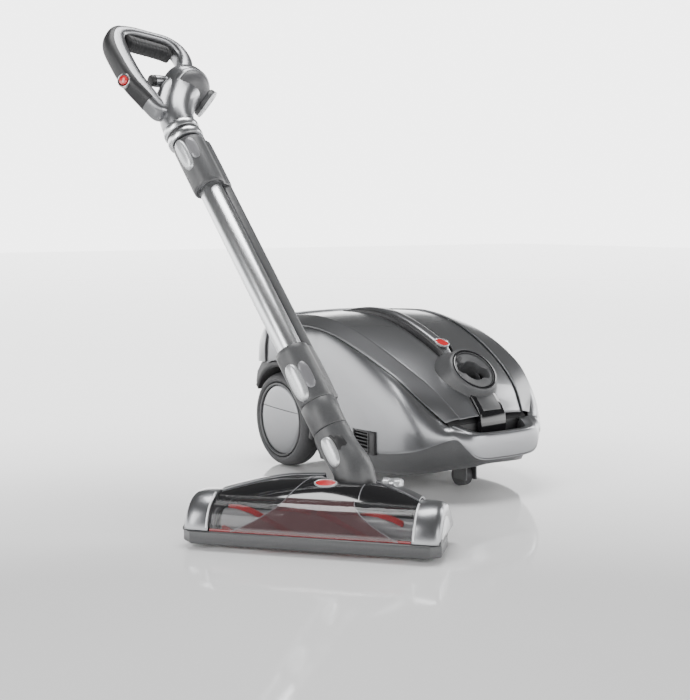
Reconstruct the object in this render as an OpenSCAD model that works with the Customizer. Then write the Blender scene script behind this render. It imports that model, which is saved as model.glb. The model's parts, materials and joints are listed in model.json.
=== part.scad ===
// Canister vacuum cleaner with a powered floor head standing beside it.
// Millimetres, +Z up. The canister points along -Y. The origin is on the floor,
// under the middle of the whole object's footprint.

/* [Canister] */
// Half width of the silver body at its widest
body_half_w = 150; // [146:1:152]
// Height of the flat top above the floor
body_top = 253; // [251:1:256]
// Wall thickness of the mouldings
wall = 3; // [2.5:0.5:3.5]
// Gap between a moving cover and what it sits in
gap = 0.8; // [0.7:0.1:1]
// Rolling radius of the big rear wheels
wheel_r = 78; // [77:0.5:79]
// Distance of a wheel's outer face from the middle
wheel_out = 152; // [151:0.5:153]
// Radius of the hose port's rim
port_r = 40; // [39:0.5:41]
// Forward lean of the hose port
port_tilt = 45; // [44:1:46]

/* [Floor head] */
// Width of the floor head
head_w = 329; // [327:1:331]
// Depth of the floor head
head_d = 150; // [149:1:152]
// Turn of the head against the canister
head_yaw = -49.9; // [-50.5:0.1:-49.3]

/* [Wand] */
// Outer radius of the chromed tube
tube_r = 17.5; // [17:0.1:17.8]
// Outer radius of the plastic couplings
coupling_r = 23.5; // [23:0.5:24]
// Lean of the wand from upright
wand_tilt = 38.5; // [38:0.1:39]
// Direction of that lean, about the head's own upright axis
wand_azimuth = 147.5; // [147:0.1:148]

/* [Hidden] */
$fn = 48;
// Footprint centre, measured from the point on the floor under the wheel axle
foot = [-184.1, -247.6];
// Middle of the head's front edge, from that same point
head_at = [-417.5, -473.4];
// Where the wand's axis leaves the neck, in the head's frame
neck_at = [31, 126, 70];
// Neck tilt axis, in the head's frame: Y and Z
tilt_axis = [118, 42];
// Hose port's centre in the canister's frame
port_at = [0, -311, 182];
axle_r = 6;
run_fit = 0.05;
lid_rear = 38;
hinge_at = [44.5, 235];
motor_at = [5, 118];
reel_at = [18, 112];
caster_at = [0, -300];
// Cord outlet's X and Z
cord_at = [80, 84];
brush_at = [38, 27];
brush_motor_at = [98, 36];
roller_at = [130.5, 10.5];
// Distance of a roller from the head's middle
roller_x = 97;
rest_gap = 0.4;

// ---------- helpers ----------
function bez(p, n = 10) = [for (i = [0:n]) let (t = i / n, u = 1 - t)
    u * u * u * p[0] + 3 * u * u * t * p[1] + 3 * u * t * t * p[2] + t * t * t * p[3]];
function arc(c, r, a0, a1, n = 8) = [for (i = [0:n]) let (a = a0 + (a1 - a0) * i / n)
    c + r * [cos(a), sin(a)]];
function flipped(p) = [for (i = [len(p) - 1:-1:0]) [-p[i][0], p[i][1]]];
module both() { children(); mirror([1, 0, 0]) children(); }
module box(lo, hi) translate(lo) cube(hi - lo);
// An outline in (Y, Z), extruded along X from x0 to x1
module along_x(x0, x1) translate([x0, 0, 0]) rotate([90, 0, 90]) linear_extrude(x1 - x0) children();
module rod_x(x0, x1, yz, r) translate([x0, yz[0], yz[1]]) rotate([0, 90, 0]) cylinder(r = r, h = x1 - x0);
module rod_y(y0, y1, xz, r) translate([xz[0], y0, xz[1]]) rotate([-90, 0, 0]) cylinder(r = r, h = y1 - y0);
module cylinder_between(r, z0, z1) translate([0, 0, z0]) cylinder(r = r, h = z1 - z0);
module at_canister() translate([-foot[0], -foot[1], 0]) children();
module at_port() translate(port_at) rotate([port_tilt, 0, 0]) children();
module at_head() at_canister() translate([head_at[0], head_at[1], 0]) rotate([0, 0, head_yaw]) children();
module at_neck() at_head() translate(neck_at) children();
// Wand frame: Z up the wand, +Y to the buttons, -Y to the conduit
module at_wand() at_neck() rotate([0, wand_tilt, wand_azimuth]) children();

// ---------- canister body ----------
// Side outline in (Y, Z), moved in by g all round
function side_outline(g) = concat(
    bez([[-356 + g, 112 - g], [-290 + g, 190 - g], [-170, body_top - g], [-60, body_top - g]]),
    bez([[-58, body_top - g], [10, body_top - g], [85 - g, 235 - g], [97 - g, 150]]),
    [[96 - g, 62], [88 - g, 40 + g], [62, 25 + g], [-246, 28 + g]],
    bez([[-300, 31 + g], [-340, 33 + g], [-366 + g, 42 + g], [-374 + g, 70 + g / 2]], 5));
// Half plan outline in (X, Y), from the nose to the tail
function half_plan(g) = concat(
    bez([[58, -376 + g], [body_half_w - g, -330 + g], [body_half_w + 2 - g, -200], [body_half_w - g, -60]]),
    bez([[body_half_w - g, -58], [body_half_w - g, 40], [142 - g, 97 - g], [88, 97 - g]]));
module canister_solid(g) intersection() {
    along_x(-160, 160) polygon(side_outline(g));
    linear_extrude(280) polygon(concat(half_plan(g), flipped(half_plan(g))));
    rotate([90, 0, 0]) linear_extrude(900, center = true) polygon(concat(
        [[-160, 0], [160, 0]], arc([body_half_w - 34, body_top - 34], 34 - g, 0, 90),
        arc([34 - body_half_w, body_top - 34], 34 - g, 90, 180)));
}
module canister_skin(t = wall) difference() {
    canister_solid(0);
    canister_solid(t);
}
// Plan areas of the lid and of the lid with its trim bands
module lid_area(g = 0) translate([0, 0, 90]) linear_extrude(200) {
    edge = bez([[62 - g, -351 + g], [104 - g, -270], [110 - g, -120], [108 - g, lid_rear - g]]);
    polygon(concat(edge, flipped(edge)));
}
module band_area() translate([0, 0, 90]) linear_extrude(200) {
    edge = bez([[78, -352], [142, -290], [146, -150], [140, lid_rear]]);
    polygon(concat(edge, flipped(edge)));
}
// Everything under the silver side panels, as an outline in (Y, Z)
module below_panels() along_x(-170, 170) polygon(concat(
    [[-420, 0], [-420, 100]], bez([[-372, 92], [-330, 68], [-262, 62], [-190, 58]], 8),
    [[-86, 58], [-86, 130], [-66, 165], [100, 165], [120, 165], [120, 0]]));
module wheel_space(r, x_in) both() rod_x(x_in, 170, [0, wheel_r], r);
module pedal_space(side, g) mirror([side < 0 ? 1 : 0, 0, 0]) box([68 - g, 52 - g, 150], [108 + g, 88 + g, 230]);
// Room for the scoop's own wall in its neighbours
module scoop_space() box([-67, -400, 57.6], [67, -343.5, 112.4]);
module vent_space() both() box([100, -226, 62], [160, -190, 88]);

module base_shell() color([0.28, 0.28, 0.29]) at_canister() {
    well_r = 33;
    difference() {
        intersection() {
            canister_skin();
            below_panels();
        }
        wheel_space(88.5, 100);
        box([-52, 80, 61], [52, 120, 130]);
        translate([caster_at[0], caster_at[1], 0]) cylinder(r = well_r, h = 60);
        rod_y(80, 120, cord_at, 11);
        scoop_space();
    }
    // caster well and its bearing boss
    translate([caster_at[0], caster_at[1], 0]) difference() {
        union() {
            translate([0, 0, 33]) cylinder(r = well_r + 3, h = 13);
            cylinder_between(10, 45, 60);
        }
        cylinder_between(well_r, 20, 43);
        cylinder_between(5 + run_fit, 42, 61);
    }
    // wall between the dust chamber and the motor chamber
    difference() {
        intersection() {
            canister_solid(wall - 1);
            box([-104, -92, 26], [104, -89, 200]);
        }
        rod_y(-96, -85, [0, 125], 42);
    }
    // reel bracket and spindle
    box([11, -40, 27], [15, 76, 128]);
    rod_x(14, 92, reel_at, axle_r);
    // motor saddle
    difference() {
        box([-88, -30, 27], [-12, 40, 80]);
        rod_x(-90, -10, motor_at, 53);
    }
}

module scoop_outline(g) polygon(concat(
    arc([46, -372], 16 - g, -80, 0, 6), [[66 - g, -344 - g]], [[-66 + g, -344 - g]],
    flipped(arc([46, -372], 16 - g, -80, 0, 6))));
module body_shell() color([0.62, 0.63, 0.65]) at_canister() {
    difference() {
        intersection() {
            canister_skin();
            box([-170, -400, 0], [170, lid_rear, 260]);
        }
        below_panels();
        band_area();
        wheel_space(88.5, 100);
        vent_space();
        box([-60, -400, 40], [60, -345, 140]);
    }
    // front carrying scoop, open at the top
    difference() {
        intersection() {
            translate([0, 0, 58]) linear_extrude(66) scoop_outline(0);
            along_x(-80, 80) polygon([[-392, 58], [-392, 94], [-353, 112], [-340, 112], [-340, 58]]);
        }
        translate([0, 0, 62]) linear_extrude(70) scoop_outline(7);
        box([-22, -360, 100], [22, -330, 130]);
    }
}
module trim_bands() color([0.45, 0.45, 0.47]) at_canister() difference() {
    intersection() {
        canister_skin();
        band_area();
    }
    lid_area(-0.2);
    scoop_space();
    box([-61, -400, 90], [61, -340, 200]);
}
module rear_cover() color([0.40, 0.40, 0.42]) at_canister() {
    hinge_half = 62;
    difference() {
        intersection() {
            canister_skin();
            box([-160, lid_rear + 0.2, 165.2], [160, 120, 260]);
        }
        box([-hinge_half, 0, 200], [hinge_half, 49.5, 260]);
        box([-109, 0, 200], [109, 41, 260]);
        pedal_space(1, gap);
        pedal_space(-1, gap);
    }
    both() difference() {
        box([hinge_half, 41, 230.5], [hinge_half + 8, 52, 238]);
        rod_x(hinge_half - 1, hinge_half + 9, hinge_at, 1.8 + run_fit);
    }
}
module wheel_wells() color([0.20, 0.20, 0.21]) at_canister() both() {
    intersection() {
        difference() {
            rod_x(103, 160, [0, wheel_r], 88.4);
            rod_x(106, 161, [0, wheel_r], 84.5);
            rod_x(102, 110, [0, wheel_r], axle_r);
        }
        canister_solid(0);
    }
}
module side_vents() color([0.08, 0.08, 0.09]) at_canister() both() difference() {
    intersection() {
        canister_skin(4);
        box([100, -225.5, 62.5], [160, -190.5, 87.5]);
    }
    for (i = [0:3]) box([100, -220, 65 + 5.6 * i], [160, -196, 67.5 + 5.6 * i]);
}
module wheel_axles() color([0.7, 0.7, 0.72]) at_canister() both() {
    rod_x(97, 149, [0, wheel_r], axle_r);
    rod_x(97, 102.9, [0, wheel_r], 10);
}
module motor_housing() color([0.15, 0.15, 0.16]) at_canister() difference() {
    rod_x(-92, -8, motor_at, 52.9);
    rod_x(-88, -12, motor_at, 49);
    rod_x(-100, 0, motor_at, 4 + run_fit);
    for (a = [30:60:330]) rod_x(-100, -80, motor_at + 28 * [cos(a), sin(a)], 8);
}
module motor_fan() color([0.75, 0.72, 0.66]) at_canister() {
    rod_x(-91, -9, motor_at, 4);
    rod_x(-84, -70, motor_at, 46);
    rod_x(-60, -24, motor_at, 30);
}
module cord_reel() color([0.20, 0.20, 0.21]) at_canister() difference() {
    union() {
        rod_x(18, 22, reel_at, 58);
        rod_x(20, 86, reel_at, 26);
        rod_x(84, 88, reel_at, 58);
    }
    rod_x(10, 95, reel_at, axle_r + run_fit);
}
module bag_volume(g) difference() {
    intersection() {
        canister_solid(24 + g);
        box([-84 + g, -330 + g, 62 + g], [84 - g, -104 - g, 220 - g]);
    }
    at_port() box([-120, -200, -55 - g], [120, 200, 200]);
}
module dust_bag() color([0.85, 0.82, 0.74]) at_canister() difference() {
    bag_volume(0);
    bag_volume(1.5);
}
module bag_holder() color([0.30, 0.45, 0.55]) at_canister() at_port() difference() {
    union() {
        box([-42, -34, -54.5], [42, 34, -51.5]);
        both() box([38, -30, -54.5], [42, 30, -44]);
    }
    translate([0, 0, -60]) cylinder(r = 24, h = 20);
}
module exhaust_filter() color([0.90, 0.90, 0.87]) at_canister() box([-46, 80, 64], [46, 89, 127]);
module cord_gland() color([0.08, 0.08, 0.09]) at_canister() difference() {
    union() {
        rod_y(86, 99, cord_at, 10.9);
        rod_y(98, 101, cord_at, 13.5);
    }
    rod_y(80, 110, cord_at, 6);
}

// ---------- lid ----------
module lid_cover() color([0.66, 0.67, 0.69]) at_canister() {
    difference() {
        intersection() {
            canister_skin();
            lid_area(gap);
        }
        at_port() {
            cylinder_between(36, -60, 0);
            cylinder_between(50.4, -20.4, 60);
        }
        box([-21, -352, 100], [21, -334, 200]);
    }
    // hinge knuckle and its pins
    rod_x(-61, 61, hinge_at, 3.2);
    box([-61, lid_rear - 4, 233.5], [61, hinge_at[0], 236.5]);
    rod_x(-69, 69, hinge_at, 1.8);
}
module port_ring() color([0.16, 0.16, 0.17]) at_canister() at_port() difference() {
    union() {
        rotate_extrude($fn = 72) polygon([[33, -20], [50, -20], [48, -8], [port_r, 0], [33, 0]]);
        translate([0, 0, -40]) cylinder(r = 35.8, h = 30);
    }
    translate([0, 0, -41]) cylinder(r = 33, h = 50);
}
module hose_inlet() color([0.22, 0.22, 0.23]) at_canister() at_port() difference() {
    union() {
        translate([0, 0, -7]) cylinder(r = 33, h = 4);
        translate([0, 0, -48]) cylinder(r = 21, h = 43);
    }
    translate([0, 0, -49]) cylinder(r = 18, h = 60);
    for (a = [20, 200]) rotate([0, 0, a]) box([15, -6, -8], [27, 6, 1]);
    box([-9, 22, -5], [9, 29, 1]);
}
// Arched bar lying on the lid: a strip of the side outline, g above the surface
module lid_strip(g, x0, x1, y0, y1) difference() {
    intersection() {
        along_x(x0, x1) polygon(side_outline(-g));
        box([x0, y0, 150], [x1, y1, 300]);
    }
    along_x(-90, 90) polygon(side_outline(0));
}
module carry_handle() color([0.66, 0.67, 0.69]) at_canister() lid_strip(11, -11, 11, -246, 14);
module handle_sides() color([0.10, 0.10, 0.11]) at_canister() both() lid_strip(7, 11, 17, -238, 10);
module latch_button() color([0.12, 0.12, 0.13]) at_canister() intersection() {
    canister_skin(6);
    box([-20.2, -380, 84], [20.2, -334.8, 200]);
}

// ---------- rear controls ----------
module pedal(side) at_canister() intersection() {
    canister_skin(7);
    pedal_space(side, 0);
}
module power_pedal() color([0.68, 0.69, 0.70]) pedal(-1);
module rewind_pedal() color([0.68, 0.69, 0.70]) pedal(1);
module exhaust_grille() color([0.12, 0.12, 0.13]) at_canister() {
    difference() {
        box([-51, 92.5, 66], [51, 95.5, 129]);
        for (i = [0:6]) box([-45, 90, 71 + 8 * i], [45, 98, 75 + 8 * i]);
    }
    rod_x(-51, 51, [94, 64.5], 2.5);
}

// ---------- wheels ----------
module tyre() at_canister() translate([0, 0, wheel_r]) rotate([0, 90, 0])
    rotate_extrude($fn = 72) polygon(concat(
        [[61, 112]], arc([wheel_r - 8, 120], 8, -90, 0, 5),
        arc([wheel_r - 12, wheel_out - 13], 12, 0, 90, 6), [[61, wheel_out - 1]]));
module hub() at_canister() difference() {
    union() {
        rod_x(114, wheel_out - 3, [0, wheel_r], 61);
        rod_x(107, 115, [0, wheel_r], 12);
        rod_x(wheel_out - 4, wheel_out, [0, wheel_r], 56);
    }
    rod_x(100, wheel_out - 2, [0, wheel_r], axle_r + run_fit);
    difference() {
        rod_x(113, wheel_out - 7, [0, wheel_r], 57);
        rod_x(112, wheel_out - 6, [0, wheel_r], 12);
    }
}
module tyre_right() color([0.22, 0.22, 0.23]) tyre();
module hub_right() color([0.62, 0.63, 0.65]) hub();
// The left wheel is the mirror image about the canister's middle plane
module mirrored() translate([-foot[0], 0, 0]) mirror([1, 0, 0]) translate([foot[0], 0, 0]) children();
module tyre_left() color([0.22, 0.22, 0.23]) mirrored() tyre();
module hub_left() color([0.62, 0.63, 0.65]) mirrored() hub();
module caster_fork() color([0.20, 0.20, 0.21]) at_canister() {
    translate([caster_at[0], caster_at[1], 0]) {
        cylinder_between(5, 35, 59);
        cylinder_between(8, 36, 42.5);
        cylinder_between(19, 34, 37);
    }
    difference() {
        both() box([8.5, -308, 11], [11, -279, 34.5]);
        rod_x(-12, 12, [-286, 16], 3);
    }
    rod_x(-11, 11, [-286, 16], 3);
}
module caster_wheel() color([0.25, 0.25, 0.26]) at_canister() difference() {
    rod_x(-7.5, 7.5, [-286, 16], 16);
    rod_x(-9, 9, [-286, 16], 3 + run_fit);
}

// ---------- floor head ----------
// Curved front in (Y, Z) around the brush: an arc of radius r
function nose(r, a1) = arc([50, 17], r, 172, a1, 10);
module head_base() color([0.33, 0.33, 0.34]) at_head() {
    half = head_w / 2;
    corner = 12.5;
    difference() {
        union() {
            translate([0, 0, 6]) linear_extrude(16.7) polygon([[-half + corner, 0],
                [half - corner, 0], [half, corner], [half, 60], [half - 20, 74],
                [half - 40, 118], [100, head_d], [-100, head_d], [40 - half, 118],
                [20 - half, 74], [-half, 60], [-half, corner]]);
            // rear motor tray
            box([-118, 70, 8], [118, 140, 50]);
        }
        box([-143, 9, 0], [143, 68, 60]);
        box([-115, 73, 11], [115, 137, 60]);
        // belt slot
        box([-128, 60, 14], [-117, 112, 60]);
        rod_x(-130, -100, brush_motor_at, 2 + run_fit);
        // roller pockets and their axle holes
        for (s = [-1, 1]) {
            box([s * roller_x - 11, 119, 0], [s * roller_x + 11, 142, 26]);
            rod_x(s * roller_x - 15, s * roller_x + 15, roller_at, 2.5 + run_fit);
        }
        box([-22, 100, 24], [84, 160, 60]);
    }
    // brush bearings, with a slot above the chamber
    for (s = [-1, 1]) difference() {
        box([s * 145 - 2, 26, 16], [s * 145 + 2, 50, 40]);
        rod_x(-150, 150, brush_at, 4 + run_fit);
    }
    // neck trunnions
    for (x = [-16, 78]) difference() {
        box([x - 3.5, 108, 10], [x + 3.5, 128, 52]);
        rod_x(x - 5, x + 5, tilt_axis, 6 + run_fit);
    }
}
module cover_outline(g) polygon(concat(
    [[44 + g, 61.5 - g], [72, 70 - g], [92, 73 - g]],
    bez([[100, 73 - g], [120, 73 - g], [head_d - g, 66 - g], [head_d - g, 52]], 6),
    [[44 + g, 52]]));
module head_cover() color([0.06, 0.06, 0.07]) at_head() difference() {
    along_x(-129, 129) cover_outline(0);
    along_x(-126, 126) cover_outline(3);
    // clearance round the neck, and the pedal's pocket
    translate([neck_at[0], neck_at[1], 40]) cylinder(r = 40, h = 50);
    box([75, 96, 50], [93, 126, 90]);
}
module head_window() color([0.75, 0.75, 0.77, 0.4]) at_head() difference() {
    along_x(-129, 129) polygon(concat(nose(44, 99), flip_list(nose(41.5, 99))));
    along_x(-140, 140) square([100, 22.8]);
}
function flip_list(p) = [for (i = [len(p) - 1:-1:0]) p[i]];
module end_caps() color([0.60, 0.61, 0.62]) at_head() both() difference() {
    along_x(129.3, head_w / 2 - 1) polygon(concat([[5, 22.8]], nose(47, 96),
        bez([[60, 66], [92, 64], [112, 46], [116, 22.8]], 6)));
    along_x(120, head_w / 2 - 4) polygon(concat([[9, 20]], nose(43, 96),
        bez([[60, 62], [86, 60], [106, 44], [111, 20]], 6)));
}
module brush_motor() color([0.35, 0.35, 0.37]) at_head() difference() {
    rod_x(-104, -32, brush_motor_at, 20);
    rod_x(-110, -40, brush_motor_at, 2 + run_fit);
}
module motor_pulley() color([0.70, 0.70, 0.72]) at_head() {
    rod_x(-124, -42, brush_motor_at, 2);
    rod_x(-127, -118.5, brush_motor_at, 6);
}
module drive_belt() color([0.06, 0.06, 0.06]) at_head() {
    lean = atan2(brush_motor_at[1] - brush_at[1], brush_motor_at[0] - brush_at[0]);
    span = norm(brush_motor_at - brush_at);
    difference() {
        belt_loop(span, lean, 12.6, 8.4, -126, -119);
        belt_loop(span, lean, 11.1, 6.6, -128, -117);
    }
}
module belt_loop(span, lean, r0, r1, x0, x1) along_x(x0, x1) translate(brush_at) rotate(lean)
    polygon(concat(arc([0, 0], r0, 90, 270, 14), arc([span, 0], r1, -90, 90, 14)));
module brush_roll() color([0.28, 0.28, 0.30]) at_head() {
    rod_x(-149, 149, brush_at, 4);
    rod_x(-140, -127, brush_at, 18);
    rod_x(-127, -118, brush_at, 10.5);
    rod_x(-118, 140, brush_at, 18);
    for (side = [-1, 1]) for (i = [0:6])
        translate([side * (12 + 15 * i), brush_at[0], brush_at[1]]) rotate([20 * i, 0, 0])
        rotate_copies() translate([-6.5, -2.5, 16]) cube([13, 5, 7]);
}
module rotate_copies() for (a = [0, 180]) rotate([a, 0, 0]) children();
module rear_rollers() color([0.25, 0.25, 0.26]) at_head() for (s = [-1, 1]) {
    rod_x(s * roller_x - 14, s * roller_x + 14, roller_at, 2.5);
    rod_x(s * roller_x - 10, s * roller_x + 10, roller_at, 10.5);
}
module release_pedal() color([0.72, 0.72, 0.74]) at_head() {
    box([76, 100, 66], [92, 124, 75]);
    rod_x(76, 92, [102, 71], 5);
}

// ---------- neck ----------
module neck_yoke() color([0.24, 0.24, 0.25]) at_head() {
    rod_x(-20, neck_at[0] - 18, tilt_axis, 6);
    rod_x(neck_at[0] + 18, 82, tilt_axis, 6);
    difference() {
        union() {
            rod_x(-11, 73, tilt_axis, 17);
            translate([neck_at[0], neck_at[1], 42]) cylinder(r = 27, h = 20);
        }
        translate([neck_at[0], neck_at[1], 30]) cylinder(r = 19.5, h = 50);
        rod_x(neck_at[0] - 19, neck_at[0] + 19, tilt_axis, 12);
    }
}
module neck_elbow() color([0.30, 0.30, 0.31]) {
    at_neck() difference() {
        union() {
            translate([0, 0, -7.6]) cylinder(r = 27, h = 9);
            sphere(r = 25.5);
        }
        translate([0, 0, -40]) cylinder(r = 17, h = 40);
        translate([0, 0, -30]) cylinder(r = 40, h = 22.4);
    }
    at_wand() difference() {
        cylinder_between(25.4, 11.5, 76);
        cylinder_between(tube_r + 1, 20, 90);
        box([-10.5, 19, 20.5], [10.5, 30, 64.5]);
    }
}
module neck_button() color([0.78, 0.78, 0.79]) at_wand() difference() {
    box([-9.7, 22.6, 21.3], [9.7, 28.4, 63.7]);
    box([-3, 26.8, 48], [3, 30, 58]);
}

// ---------- wand ----------
module lower_coupling() color([0.25, 0.25, 0.26]) at_wand() difference() {
    union() {
        cylinder_between(coupling_r + 1, 76.6, 118);
        cylinder_between(coupling_r, 118, 204);
        box([-13, -40, 104], [13, -14, 200]);
    }
    cylinder_between(tube_r, 118, 206);
    cylinder_between(tube_r - 2, 80, 120);
    box([-10.8, 18.2, 121.5], [10.8, 32, 178.5]);
    box([-8.9, -35.9, 149.9], [8.9, -17, 206]);
}
module coupling_button() color([0.80, 0.80, 0.81]) at_wand()
    box([-10, 21.6, 122.3], [10, 30.5, 177.7]);
module outer_tube() color([0.75, 0.76, 0.78]) at_wand() difference() {
    cylinder_between(tube_r, 120, 500);
    cylinder_between(tube_r - 1.5, 119, 501);
}
module lower_conduit() color([0.22, 0.22, 0.23]) at_wand() difference() {
    box([-8.8, -35.8, 150], [8.8, -18.2, 488]);
    box([-6.8, -33.8, 149], [6.8, -20.2, 489]);
}
module upper_coupling() color([0.25, 0.25, 0.26]) at_wand() difference() {
    union() {
        cylinder_between(coupling_r, 494, 574);
        box([-12, -40, 490], [12, -14, 574]);
    }
    cylinder_between(tube_r, 490, 500);
    cylinder_between(tube_r - 1.3, 495, 576);
    box([-9.8, 14, 519], [9.8, 32, 573]);
    box([-6.6, -33.6, 485], [6.6, -20.4, 580]);
    box([-8.8, -35.8, 480], [8.8, -18.2, 491]);
}
module slide_button() color([0.80, 0.80, 0.81]) at_wand() box([-9, 19.6, 519.8], [9, 28.6, 572.2]);
module inner_tube() color([0.72, 0.73, 0.75]) at_wand() difference() {
    cylinder_between(tube_r - 1.5 - rest_gap, 250, 600);
    cylinder_between(tube_r - 3.4, 249, 601);
}
module upper_conduit() color([0.18, 0.18, 0.19]) at_wand() {
    box([-6.1, -33.1, 240], [6.1, -20.9, 622]);
}
module collar_ring() color([0.80, 0.81, 0.83]) at_wand() difference() {
    cylinder_between(27, 576, 604);
    cylinder_between(tube_r - 1.5 - rest_gap, 570, 600);
    cylinder_between(14, 590, 610);
    box([-7, -40, 570], [7, -20, 610]);
}
// Hub where the hose leaves, off to the conduit side
hub_y = -50;
hub_z = 690;
knob_z = 701;
// Turn of the hose socket from straight up, about the wand frame's X
socket_lean = 140;
module handle_hub() color([0.62, 0.63, 0.65]) at_wand() difference() {
    union() {
        hull() {
            cylinder_between(26, 604.2, 612);
            translate([0, hub_y / 2 + 4, 655]) sphere(r = 27, $fn = 32);
        }
        hull() {
            translate([0, hub_y / 2 + 4, 655]) sphere(r = 27, $fn = 32);
            translate([0, hub_y, hub_z]) sphere(r = 36, $fn = 32);
        }
    }
    // seats of the hose socket, the side cap and the bleed knob
    at_socket() cylinder_between(20.4, 8, 60);
    rod_x(-40, -30, [hub_y - 4, hub_z + 2], 22.3);
    knob_space();
    box([-6.1, -33.1, 600], [6.1, -20.9, 622]);
}
module knob_space() translate([0, 0, knob_z]) rotate([-90, 0, 0]) {
    cylinder_between(4 + run_fit, -26, 0);
    cylinder_between(9.5, -13.5, 20);
}
module hub_cap() color([0.33, 0.33, 0.34]) at_wand() rod_x(-35, -30, [hub_y - 4, hub_z + 2], 22);
module at_socket() translate([0, hub_y, hub_z]) rotate([socket_lean, 0, 0]) children();
module hose_socket() color([0.24, 0.24, 0.25]) at_wand() at_socket() difference() {
    union() {
        cylinder_between(20, 10, 52);
        cylinder_between(22, 43, 52);
    }
    cylinder_between(18, 14, 60);
}
// Closed grip: outline in (Y, Z) of the wand, extruded across it
module loop_outline(g) polygon(concat(
    [[34 - g, 640 + g], [52 - g, 664 + g], [63 - g, 694]],
    bez([[68 - g, 760], [68 - g, 790 - g], [45, 800 - g], [28, 800 - g]], 6),
    bez([[-50, 791 - g], [-72, 788 - g], [-84 + g, 765], [-84 + g, 735]], 6),
    [[-78 + g, 712], [-46, 690 + g], [0, 668 + g], [12, 640 + g]]));
module loop_hole() polygon(concat(
    [[30, 704]], bez([[38, 762], [36, 772], [30, 774], [20, 773]], 5),
    [[-30, 764], [-52, 752], [-54, 738], [-34, 724], [-18, 712], [-12, 690], [4, 685], [26, 696]]));
module handle_loop() color([0.60, 0.61, 0.63]) at_wand() difference() {
    translate([-15, 0, 0]) rotate([90, 0, 90]) linear_extrude(30) difference() {
        loop_outline(0);
        loop_hole();
    }
    // room for the hub: its two balls and the cones that join them
    translate([0, hub_y, hub_z]) sphere(r = 36.5);
    translate([0, hub_y / 2 + 4, 655]) {
        sphere(r = 27.6);
        rotate([39.6, 0, 0]) translate([0, 0, -6]) cylinder(r1 = 27.3, r2 = 36.2, h = 46);
        rotate([24, 0, 0]) translate([0, 0, -52]) cylinder(r = 27.9, h = 52);
    }
    knob_space();
    at_switch() cylinder_between(8.6, -9, 30);
}
module at_switch() translate([-13, 56, 694]) rotate([0, 0, -40]) rotate([0, -90, 0]) children();
module grip_pad() color([0.06, 0.06, 0.07]) at_wand() along_x(-11, 11)
    polygon([[20, 772.6], [20, 768], [10, 760], [-22, 752], [-40, 748], [-42, 757], [-30, 763.6]]);
module switch_button() color([0.80, 0.08, 0.10]) at_wand() at_switch()
    cylinder_between(8, -4, 3);
module bleed_knob() color([0.16, 0.16, 0.17]) at_wand() translate([0, 0, knob_z]) rotate([-90, 0, 0]) {
    cylinder_between(4, -25, -12);
    cylinder_between(9, -13, 11);
}

base_shell();
body_shell();
trim_bands();
rear_cover();
wheel_wells();
side_vents();
wheel_axles();
motor_housing();
dust_bag();
bag_holder();
exhaust_filter();
cord_gland();
lid_cover();
port_ring();
hose_inlet();
carry_handle();
handle_sides();
latch_button();
power_pedal();
rewind_pedal();
exhaust_grille();
motor_fan();
cord_reel();
tyre_left();
hub_left();
tyre_right();
hub_right();
caster_fork();
caster_wheel();
head_base();
head_cover();
head_window();
end_caps();
brush_motor();
drive_belt();
brush_roll();
motor_pulley();
rear_rollers();
release_pedal();
neck_yoke();
neck_elbow();
neck_button();
lower_coupling();
coupling_button();
outer_tube();
lower_conduit();
upper_coupling();
slide_button();
inner_tube();
upper_conduit();
collar_ring();
handle_hub();
handle_loop();
grip_pad();
hub_cap();
switch_button();
hose_socket();
bleed_knob();
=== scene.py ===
"""Canister vacuum cleaner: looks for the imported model, in metres, in the model's own frame.
Shapes are written in millimetres in the local frame of the assembly they belong to."""
import json
import math
import random
import bmesh
import bpy
import numpy as np
from mathutils import Matrix, Vector


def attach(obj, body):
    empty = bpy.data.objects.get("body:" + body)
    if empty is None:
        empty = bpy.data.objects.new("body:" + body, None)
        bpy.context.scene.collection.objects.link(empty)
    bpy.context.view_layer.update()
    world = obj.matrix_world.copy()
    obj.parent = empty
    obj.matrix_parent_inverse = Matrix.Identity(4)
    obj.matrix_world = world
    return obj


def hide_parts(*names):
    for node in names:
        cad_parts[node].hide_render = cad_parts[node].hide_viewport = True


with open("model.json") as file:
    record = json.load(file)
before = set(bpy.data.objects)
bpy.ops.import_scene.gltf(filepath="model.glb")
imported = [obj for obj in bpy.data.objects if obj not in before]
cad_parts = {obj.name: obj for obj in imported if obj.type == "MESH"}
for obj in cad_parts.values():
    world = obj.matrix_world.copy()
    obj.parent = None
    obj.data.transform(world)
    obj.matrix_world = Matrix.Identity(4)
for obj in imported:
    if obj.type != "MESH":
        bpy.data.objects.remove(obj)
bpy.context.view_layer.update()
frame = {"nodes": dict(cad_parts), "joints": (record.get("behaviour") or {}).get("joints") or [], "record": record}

MM = 0.001
random.seed(7)
JOINTS = {j["name"]: j for j in frame["joints"]}


# ---------- local frames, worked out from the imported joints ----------
def joint_at(name):
    return Vector(JOINTS[name]["pos_m"])


def joint_axis(name):
    return Vector(JOINTS[name]["axis"]).normalized()


def frame_from(origin, x, z):
    """A matrix with its local X and Z along x and z, and its origin at origin."""
    z = z.normalized()
    x = (x - z * x.dot(z)).normalized()
    y = z.cross(x)
    turn = Matrix((x, y, z)).transposed().to_4x4()
    return Matrix.Translation(origin) @ turn


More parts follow.
